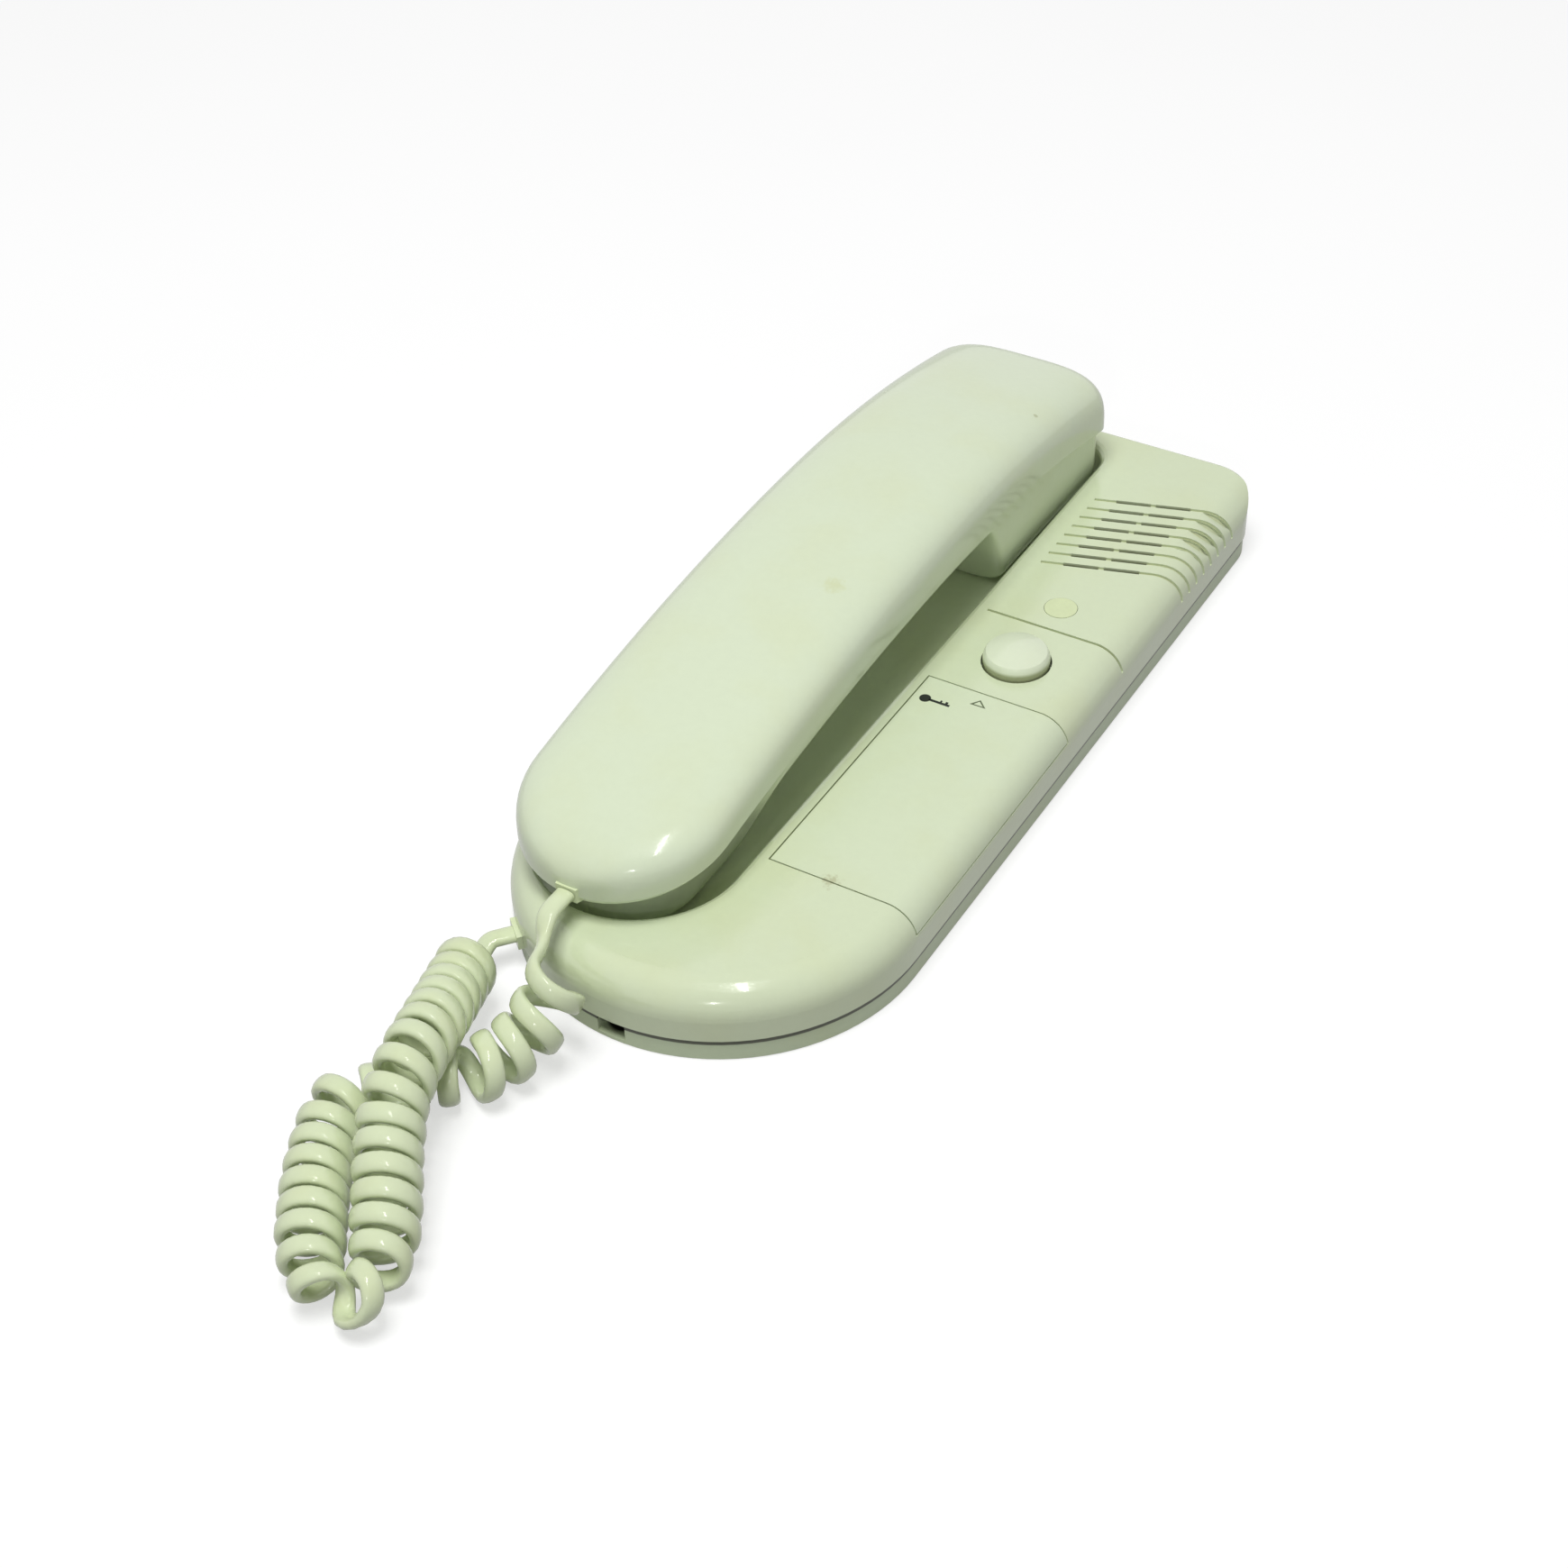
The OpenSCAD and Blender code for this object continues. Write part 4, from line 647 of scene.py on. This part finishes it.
def curl_rings():
    """Places on the curls and the directions away from their axis."""
    axis, run, heading, bends, side = curl_axis()
    spot = [0]

    def along(values, s):
        while spot[0] < len(run) - 2 and run[spot[0] + 1] <= s:
            spot[0] += 1
        while spot[0] > 0 and run[spot[0]] > s:
            spot[0] -= 1
        i = spot[0]
        return mix(values[i], values[i + 1], (s - run[i]) / (run[i + 1] - run[i]))

    def radius(s):
        tightest = CURL_RADIUS
        for point, small, near, change in DRAWN_IN:
            away = abs(s - run[int(point * ROUTE_STEPS)])
            tightest = min(tightest, mix(small, CURL_RADIUS, smooth((away - near) / change)))
        return tightest

    def pitch(s):
        stretch = smooth(1 - (run[-1] - s) / END_STRETCH_LENGTH)
        return CORD_WIDTH + CURL_GAP + END_STRETCH * stretch

    steps, s = [], 0.0
    while s < run[-1]:
        steps.append(s)
        s += pitch(s) / max(TIGHTEST_BEND, 1 - radius(s) * along(bends, s)) / CURL_RINGS
    places, outward = [], []
    for i in range((len(steps) - 1) * FINE_RINGS + 1):
        k = min(i // FINE_RINGS, len(steps) - 2)
        t = i / FINE_RINGS
        s = mix(steps[k], steps[k + 1], t - k)
        turn = math.radians(CURL_START - 360 / CURL_RINGS * t)
        d = along(heading, s).normalized()
        raw = along(side, s)
        across = (raw - raw.dot(d) * d).normalized()
        out = across * math.cos(turn) + d.cross(across) * math.sin(turn)
        places.append(along(axis, s) + out * radius(s))
        outward.append(out)
    return places, outward


def bend(p0, d0, p1, d1, t):
    """Place on a smooth bend between two ends with given directions."""
    return ((2 * t ** 3 - 3 * t * t + 1) * p0 + (t ** 3 - 2 * t * t + t) * d0
            + (3 * t * t - 2 * t ** 3) * p1 + (t ** 3 - t * t) * d1)


def cord_line():
    """Places along the whole cord and the direction that its flat side faces at each."""
    curls, outs = curl_rings()
    first, last = (curls[1] - curls[0]).normalized(), (curls[-1] - curls[-2]).normalized()
    lead_in, lead_out = CORD_START + CORD_WIDTH * START_DIR, CORD_END - CORD_WIDTH * END_DIR
    shares = [i / LEAD_STEPS for i in range(LEAD_STEPS + 1)]
    start = [bend(lead_in, START_PULLS[0] * START_DIR, curls[0], START_PULLS[1] * first, t)
             for t in shares[:-1]]
    end = [bend(curls[-1], END_PULLS[0] * last, lead_out, END_PULLS[1] * END_DIR, t)
           for t in shares[1:]]
    places = [CORD_START, *start, *curls, *end, CORD_END - CORD_END_GAP * END_DIR]
    outward = [UP, *(mix(UP, outs[0], smooth(t)) for t in shares[:-1]), *outs,
               *(mix(outs[-1], UP, smooth(t)) for t in shares[1:]), UP]
    return places, outward


def curly_cord():
    places, outward = cord_line()
    section = [squircle(360 / CORD_CORNERS * k, CORD_POWER) for k in range(CORD_CORNERS)]
    rings = []
    for i, (p, out) in enumerate(zip(places, outward)):
        d = (places[min(i + 1, len(places) - 1)] - places[max(i - 1, 0)]).normalized()
        up = (out - out.dot(d) * d).normalized()
        across = d.cross(up)
        rings.append([(p + across * (x * CORD_WIDTH / 2) + up * (z * CORD_THICKNESS / 2)) * MM
                      for x, z in section])
    cord = new_piece("curly_cord_strand", pulled_through(rings), cord_ivory,
                     CORD_SHARP_EDGE)
    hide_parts("curly_cord")
    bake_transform(cord)


# Handset in millimetres: the same lines and sections as its solids, with finer stations
CRADLE_X = -15.5
HALF_WIDTH = 23.0
EAR_Y = 103.0
LOW_Y = -99.0
MOUTH_Y = LOW_Y + HALF_WIDTH
EAR_CORNER = 8.0
EAR_START_Y = EAR_Y - EAR_CORNER
EAR_CUP_LENGTH = 52.0
EAR_CUP_Y = EAR_Y - EAR_CUP_LENGTH
MOUTH_CUP_RADIUS = 16.0
MOUTH_CUP_Y = MOUTH_Y + MOUTH_CUP_RADIUS
CUP_BLEND = 10.0
CUP_Z = 9.3
CUP_LEAST_HALF = 1
SHELL_WALL = 2.0
SHELL_STEP = 1.0
PART_GAP = 0.2
FLANGE_THICKNESS = 1.6
FLANGE_EDGE = 0.4
GRIP_DEPTH = 6.5
PART_ARCH = dict(top_y=20, top_z=36, ear_z=25, mouth_z=23.5)
CROWN_ARCH = dict(top_y=28, top_z=48.2, ear_z=38.5, mouth_z=32.7)
CROWN_POWER = 3.6
CROWN_END_POWER = 5
HULL_POWER = 7
HULL_END_POWER = 6
# Stations are closer where the form turns: angles round the mouth, and stretches with their counts
EAR_STATIONS = 18
CROWN_POINTS = 49
CROWN_MOUTH = (2, 4, 6.5, 9.5, 13, 17, 21, 26, 31, 36, 42, 48, 54, 60, 66, 72, 78, 84)
CROWN_STRETCHES = ((MOUTH_Y, EAR_START_Y, 62),)
HULL_POINTS = 57
HULL_MOUTH = (3, 8, 14, 20, 26, 32, 38, 41.5, 43.32, 43.36, 43.6, 44.2, 45, 45.55, 45.59, 46.2,
              47.5, 50, 54, 59, 65, 71, 78, 84)
HULL_STRETCHES = (
    (MOUTH_Y, MOUTH_CUP_Y - 1, 8), (MOUTH_CUP_Y, MOUTH_CUP_Y + CUP_BLEND, 13),
    (MOUTH_CUP_Y + CUP_BLEND + 4, EAR_CUP_Y - CUP_BLEND - 4, 14),
    (EAR_CUP_Y - CUP_BLEND, EAR_CUP_Y, 13), (EAR_CUP_Y + 5, EAR_START_Y, 8))
# Holes in the face: rings of sound holes by radius and count, and wells of the closing screws
RECEIVER_SHIFT = 1
RECEIVER_Y = (EAR_CUP_Y + EAR_Y) / 2 - RECEIVER_SHIFT
EAR_HOLES = ((0, 1), (5, 6), (10, 12))
MOUTH_HOLES = ((0, 1), (4.5, 6))
SOUND_HOLE_RADIUS = 1.0
SCREW_SPOTS_Y = (18.0, -30.0)
SCREW_WELL_RADIUS = 2.9
SCREW_WELL_BELOW = 2
SCREW_WELL_ABOVE = 1.5
HOLE_CORNERS = 24
CUT_ROOM = 1


def arch(y, top_y, top_z, ear_z, mouth_z):
    """Height of a line that falls from its top to the ear end and to the mouth end."""
    if y > top_y:
        return top_z - (top_z - ear_z) * ((y - top_y) / (EAR_Y - top_y)) ** 2
    return top_z - (top_z - mouth_z) * ((top_y - y) / (top_y - LOW_Y)) ** 2


def part_line(y):
    return arch(y, **PART_ARCH)


def crown_line(y):
    return arch(y, **CROWN_ARCH)


def mouth_share(y):
    return smooth((MOUTH_CUP_Y + CUP_BLEND - y) / CUP_BLEND)


def under_line(y):
    ear_share = smooth((y - EAR_CUP_Y + CUP_BLEND) / CUP_BLEND)
    return mix(part_line(y) - GRIP_DEPTH, CUP_Z, max(ear_share, mouth_share(y)))


def rounding(reach, power):
    return max(1 - reach ** power, 0) ** (1 / power)


def span(low, high, count):
    return [mix(low, high, i / (count - 1)) for i in range(count)]


def stations(inset, power, mouth_angles, stretches):
    """Places along the handset: how far along, half width and share of the section's height."""
    listed = []
    for i, a in enumerate([mouth_angles[0], *mouth_angles]):
        c, s = math.cos(math.radians(a)), math.sin(math.radians(a))
        listed.append((MOUTH_Y - (HALF_WIDTH - inset) * c, (HALF_WIDTH - inset) * s,
                       rounding(c, CROWN_POWER) if i else 0.0))
    for stretch in stretches:
        listed += [(y, HALF_WIDTH - inset, 1.0) for y in span(*stretch)]
    corner = EAR_CORNER - inset
    for i in range(1, EAR_STATIONS + 1):
        a = math.radians(90 * i / EAR_STATIONS)
        c, s = math.cos(a), math.sin(a)
        listed.append((EAR_START_Y + corner * s, HALF_WIDTH - EAR_CORNER + corner * c,
                       rounding(s, power) if i < EAR_STATIONS else 0.0))
    return listed


def half_round(power, count):
    """Upper half of a rounded square, from right to left."""
    return [squircle(180 * i / (count - 1), power) for i in range(count)]


def crown_section(station, thin):
    y, half, share = station
    z = part_line(y)
    rise = max((crown_line(y) - z) * share - thin, 0)
    return [Vector((CRADLE_X + half * x, y, z + rise * up)) * MM
            for x, up in half_round(CROWN_POWER, CROWN_POINTS)]


def hull_half(y, half, inset):
    cup = MOUTH_CUP_RADIUS - inset
    if y < MOUTH_Y:
        cup = math.sqrt(max(cup ** 2 - (y - MOUTH_Y) ** 2, CUP_LEAST_HALF ** 2))
    return min(mix(half, cup, mouth_share(y)), half)


def hull_depth(y, share, inset):
    if y < MOUTH_Y - MOUTH_CUP_RADIUS + inset or share == 0:
        return 0.0
    return (part_line(y) - under_line(y)) * (1.0 if y < MOUTH_Y else share)


def hull_outer_section(station):
    y, half, share = station
    z = part_line(y) - PART_GAP
    edge = FLANGE_THICKNESS if share else 0.0
    body = hull_half(y, half - 2 * FLANGE_EDGE, 0)
    depth = max(hull_depth(y, share, 0), edge)
    rim = [(half, z), (half - FLANGE_EDGE, z - edge)]
    curve = [(body * x, z - edge - (depth - edge) * up)
             for x, up in half_round(HULL_POWER, HULL_POINTS)]
    far_rim = [(-x, h) for x, h in reversed(rim)]
    return [Vector((CRADLE_X + x, y, h)) * MM for x, h in rim + curve + far_rim]


def hull_inner_section(station):
    y, half, share = station
    z = part_line(y) - PART_GAP
    body = hull_half(y, half, SHELL_WALL)
    depth = max(hull_depth(y, share, SHELL_WALL) - SHELL_WALL, 0)
    return [Vector((CRADLE_X + body * x, y, z - depth * up)) * MM
            for x, up in half_round(HULL_POWER, HULL_POINTS)]


def handset_outer_shell():
    outside = stations(0, CROWN_END_POWER, CROWN_MOUTH, CROWN_STRETCHES)
    inside = stations(SHELL_WALL, CROWN_END_POWER, CROWN_MOUTH, CROWN_STRETCHES)
    rings = [crown_section(a, 0) + crown_section(b, SHELL_WALL)[::-1] for a, b in zip(outside, inside)]
    shell = new_piece("handset_back_shell", pulled_through(rings), handset_ivory)
    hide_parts("handset_outer_shell")
    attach(shell, "handset")


def upright_holes(spots, low, high, radius):
    """Cutter for a row of upright round holes, in millimetres."""
    bm = bmesh.new()
    for x, y in spots:
        middle = Vector((x, y, (low + high) / 2)) * MM
        bmesh.ops.create_cone(bm, cap_ends=True, segments=HOLE_CORNERS, radius1=radius * MM,
                              radius2=radius * MM, depth=(high - low) * MM,
                              matrix=Matrix.Translation(middle))
    return bm


def cut_holes(made, cutters):
    for bm in cutters:
        mesh = bpy.data.meshes.new("cutter")
        bm.to_mesh(mesh)
        bm.free()
        cutter = bpy.data.objects.new("cutter", mesh)
        scene.collection.objects.link(cutter)
        step = made.modifiers.new("holes", "BOOLEAN")
        step.operation = "DIFFERENCE"
        step.solver = "EXACT"
        step.object = cutter
        worked_out = made.evaluated_get(bpy.context.evaluated_depsgraph_get())
        done = bpy.data.meshes.new_from_object(worked_out)
        made.modifiers.clear()
        made.data = done
        bpy.data.objects.remove(cutter, do_unlink=True)
    shade(made, SHARP_EDGE)


def ring_of(y, rings):
    """Places on rings round a point on the handset's middle line."""
    places = []
    for radius, count in rings:
        for i in range(count):
            a = 2 * math.pi * i / count
            places.append((CRADLE_X + radius * math.cos(a), y + radius * math.sin(a)))
    return places


def handset_inner_shell():
    outside = stations(SHELL_STEP, HULL_END_POWER, HULL_MOUTH, HULL_STRETCHES)
    inside = stations(SHELL_STEP + SHELL_WALL, HULL_END_POWER, HULL_MOUTH, HULL_STRETCHES)
    rings = [hull_outer_section(a) + hull_inner_section(b)[::-1] for a, b in zip(outside, inside)]
    shell = new_piece("handset_face_shell", pulled_through(rings), handset_ivory)
    sounds = ring_of(RECEIVER_Y, EAR_HOLES) + ring_of(MOUTH_Y, MOUTH_HOLES)
    cutters = [upright_holes(sounds, CUP_Z - CUT_ROOM, CUP_Z + SHELL_WALL + CUT_ROOM, SOUND_HOLE_RADIUS)]
    for y in SCREW_SPOTS_Y:
        low, high = under_line(y) - SCREW_WELL_BELOW, under_line(y) + SCREW_WELL_ABOVE
        cutters.append(upright_holes([(CRADLE_X, y)], low, high, SCREW_WELL_RADIUS))
    cut_holes(shell, cutters)
    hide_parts("handset_inner_shell")
    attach(shell, "handset")


# Prints on the name panel, in millimetres
INK_THICKNESS = 0.04
INK_SUNK = 0.02
KEY_BOW = Vector((13.3, -4.32, 0))
KEY_BOW_RADIUS = 1.3
KEY_BOW_CORNERS = 32
# Shank and two teeth of the key, by opposite corners
KEY_BARS = (((14.3, -4.72), (19.25, -4.0)), ((16.75, -4.0), (17.2, -3.42)),
            ((18.0, -4.0), (18.6, -3.35)))
ARROW_OUTER = ((22.7, -1.5), (26.5, -1.4), (24.3, 0.7))
ARROW_INNER = ((23.5, -1.15), (25.7, -1.1), (24.3, 0.2))


def raise_print(bm, top):
    """Gives flat outlines a skin of ink, sunk a little into the panel."""
    grown = bmesh.ops.extrude_face_region(bm, geom=list(bm.faces))["geom"]
    lifted = [g for g in grown if isinstance(g, bmesh.types.BMVert)]
    bmesh.ops.translate(bm, verts=lifted, vec=(0, 0, INK_THICKNESS * MM))
    bmesh.ops.translate(bm, verts=bm.verts, vec=(0, 0, top - INK_SUNK * MM))
    bmesh.ops.recalc_face_normals(bm, faces=bm.faces)


def flat_bar(bm, corners):
    corner_verts = [bm.verts.new((x * MM, y * MM, 0)) for x, y in corners]
    bmesh.ops.contextual_create(bm, geom=corner_verts)


def key_print(top):
    bm = bmesh.new()
    bmesh.ops.create_circle(bm, cap_ends=True, segments=KEY_BOW_CORNERS, radius=KEY_BOW_RADIUS * MM,
                            matrix=Matrix.Translation(KEY_BOW * MM))
    for (x0, y0), (x1, y1) in KEY_BARS:
        flat_bar(bm, ((x0, y0), (x1, y0), (x1, y1), (x0, y1)))
    raise_print(bm, top)
    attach(new_piece("key_print", bm, print_black), "base")


def arrow_print(top):
    """Thin triangle outline from three mitred strips."""
    bm = bmesh.new()
    for i in range(3):
        k = (i + 1) % 3
        flat_bar(bm, (ARROW_OUTER[i], ARROW_OUTER[k], ARROW_INNER[k], ARROW_INNER[i]))
    raise_print(bm, top)
    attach(new_piece("arrow_print", bm, print_grey), "base")


# Spring of the door button
SPRING_WIRE = 0.65 * MM
SPRING_TURNS = 4
SPRING_TURN_STEPS = 24
SPRING_STEPS = SPRING_TURNS * SPRING_TURN_STEPS
WIRE_CORNERS = 10


def button_spring():
    """Wire coil inside the door button, made to the size of the spring's solid."""
    low, high = (Vector(corner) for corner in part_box("button_spring"))
    centre, height = (low + high) / 2, high.z - low.z
    radius = (high.x - low.x - SPRING_WIRE) / 2
    upright = Matrix.Rotation(math.pi / 2, 4, "X")
    bm = bmesh.new()
    bmesh.ops.create_circle(bm, segments=WIRE_CORNERS, radius=SPRING_WIRE / 2,
                            matrix=Matrix.Translation((radius, 0, SPRING_WIRE / 2)) @ upright)
    bmesh.ops.spin(bm, geom=list(bm.edges), cent=(0, 0, 0), axis=UP, angle=2 * math.pi * SPRING_TURNS,
                   steps=SPRING_STEPS, dvec=UP * (height - SPRING_WIRE) / SPRING_STEPS)
    bmesh.ops.holes_fill(bm, edges=[e for e in bm.edges if e.is_boundary], sides=0)
    bmesh.ops.recalc_face_normals(bm, faces=bm.faces)
    bmesh.ops.translate(bm, verts=bm.verts, vec=(centre.x, centre.y, low.z))
    made = new_piece("button_coil", bm, zinc_steel)
    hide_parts("button_spring")
    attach(made, "base")
    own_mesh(made)


# Floor, light and background, in metres and watts
FLOOR_HALF = 4.0
FLOOR_Z = -0.0002
FLOOR_DARK = (0.43, 0.43, 0.43, 1)
FLOOR_PALE = (0.45, 0.45, 0.45, 1)
FLOOR_SCALE = 6.0
FLOOR_ROUGHNESS = 0.9
FLOOR_SEEN_LIFT = 0.6
FLOOR_MIRRORED_LIFT = 0.32
ROOM_LEVEL = 0.24
WHITE = (1, 1, 1, 1)
LAMPS = (
    dict(name="soft_key", place=(0.02, -0.32, 1.38), aim=(0, 0, 0), width=0.6, power=12.4,
         mirrored=False),
    dict(name="ceiling_strip", place=(0.264, -0.336, 1.53), aim=(0, 0, 0.02), width=0.07, power=3.6,
         length=0.8),
    dict(name="small_lamp", place=(0.51, -1.215, 0.705), aim=(0, 0, 0.02), width=0.06, power=0.9))


def floor_white():
    """Pale floor that looks white to the camera and lighter in reflections."""
    made, tree, shader = new_material("floor_white")
    cloud = noise(tree, own_place(tree), FLOOR_SCALE)
    tree.links.new(blend_colour(tree, cloud, FLOOR_DARK, FLOOR_PALE), shader.inputs["Base Color"])
    shader.inputs["Roughness"].default_value = FLOOR_ROUGHNESS
    shader.inputs["Specular IOR Level"].default_value = 0.0
    shader.inputs["Emission Color"].default_value = WHITE
    rays = put(tree, "LightPath").outputs
    seen = maths(tree, "MULTIPLY", rays["Is Camera Ray"], FLOOR_SEEN_LIFT)
    mirrored = maths(tree, "MULTIPLY", rays["Is Glossy Ray"], FLOOR_MIRRORED_LIFT)
    tree.links.new(maths(tree, "MAXIMUM", seen, mirrored), shader.inputs["Emission Strength"])
    return made


def studio_floor():
    bm = bmesh.new()
    bmesh.ops.create_grid(bm, x_segments=1, y_segments=1, size=FLOOR_HALF,
                          matrix=Matrix.Translation((0, 0, FLOOR_Z)))
    mesh = bpy.data.meshes.new("floor")
    bm.to_mesh(mesh)
    bm.free()
    mesh.materials.append(floor_white())
    floor = bpy.data.objects.new("floor", mesh)
    scene.collection.objects.link(floor)


def white_room():
    """Background that is white where it is seen and dimmer where it lights."""
    world = bpy.data.worlds.new("white_room")
    scene.world = world
    world.use_nodes = True
    tree = world.node_tree
    sky = tree.nodes["Background"]
    rays = put(tree, "LightPath").outputs
    plain = maths(tree, "MAXIMUM", rays["Is Camera Ray"], rays["Is Transmission Ray"])
    plain = maths(tree, "MAXIMUM", plain, rays["Is Glossy Ray"])
    sky.inputs["Color"].default_value = WHITE
    tree.links.new(rising(tree, plain, 0.0, 1.0, start=ROOM_LEVEL), sky.inputs["Strength"])


def lamp(name, place, aim, width, power, length=None, mirrored=True):
    data = bpy.data.lights.new(name, "AREA")
    data.energy = power
    data.size = width
    if length:
        data.shape = "RECTANGLE"
        data.size_y = length
    made = bpy.data.objects.new(name, data)
    made.location = place
    made.rotation_euler = (Vector(aim) - Vector(place)).to_track_quat("-Z", "Y").to_euler()
    made.visible_glossy = mirrored
    scene.collection.objects.link(made)


# The scene
photo_camera()
curly_cord()
handset_outer_shell()
handset_inner_shell()
panel_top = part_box("name_panel")[1][2]
key_print(panel_top)
arrow_print(panel_top)
button_spring()
for node_name, finish in FINISHES.items():
    for held in frame["nodes"][node_name].material_slots:
        held.material = finish
studio_floor()
white_room()
for settings in LAMPS:
    lamp(**settings)
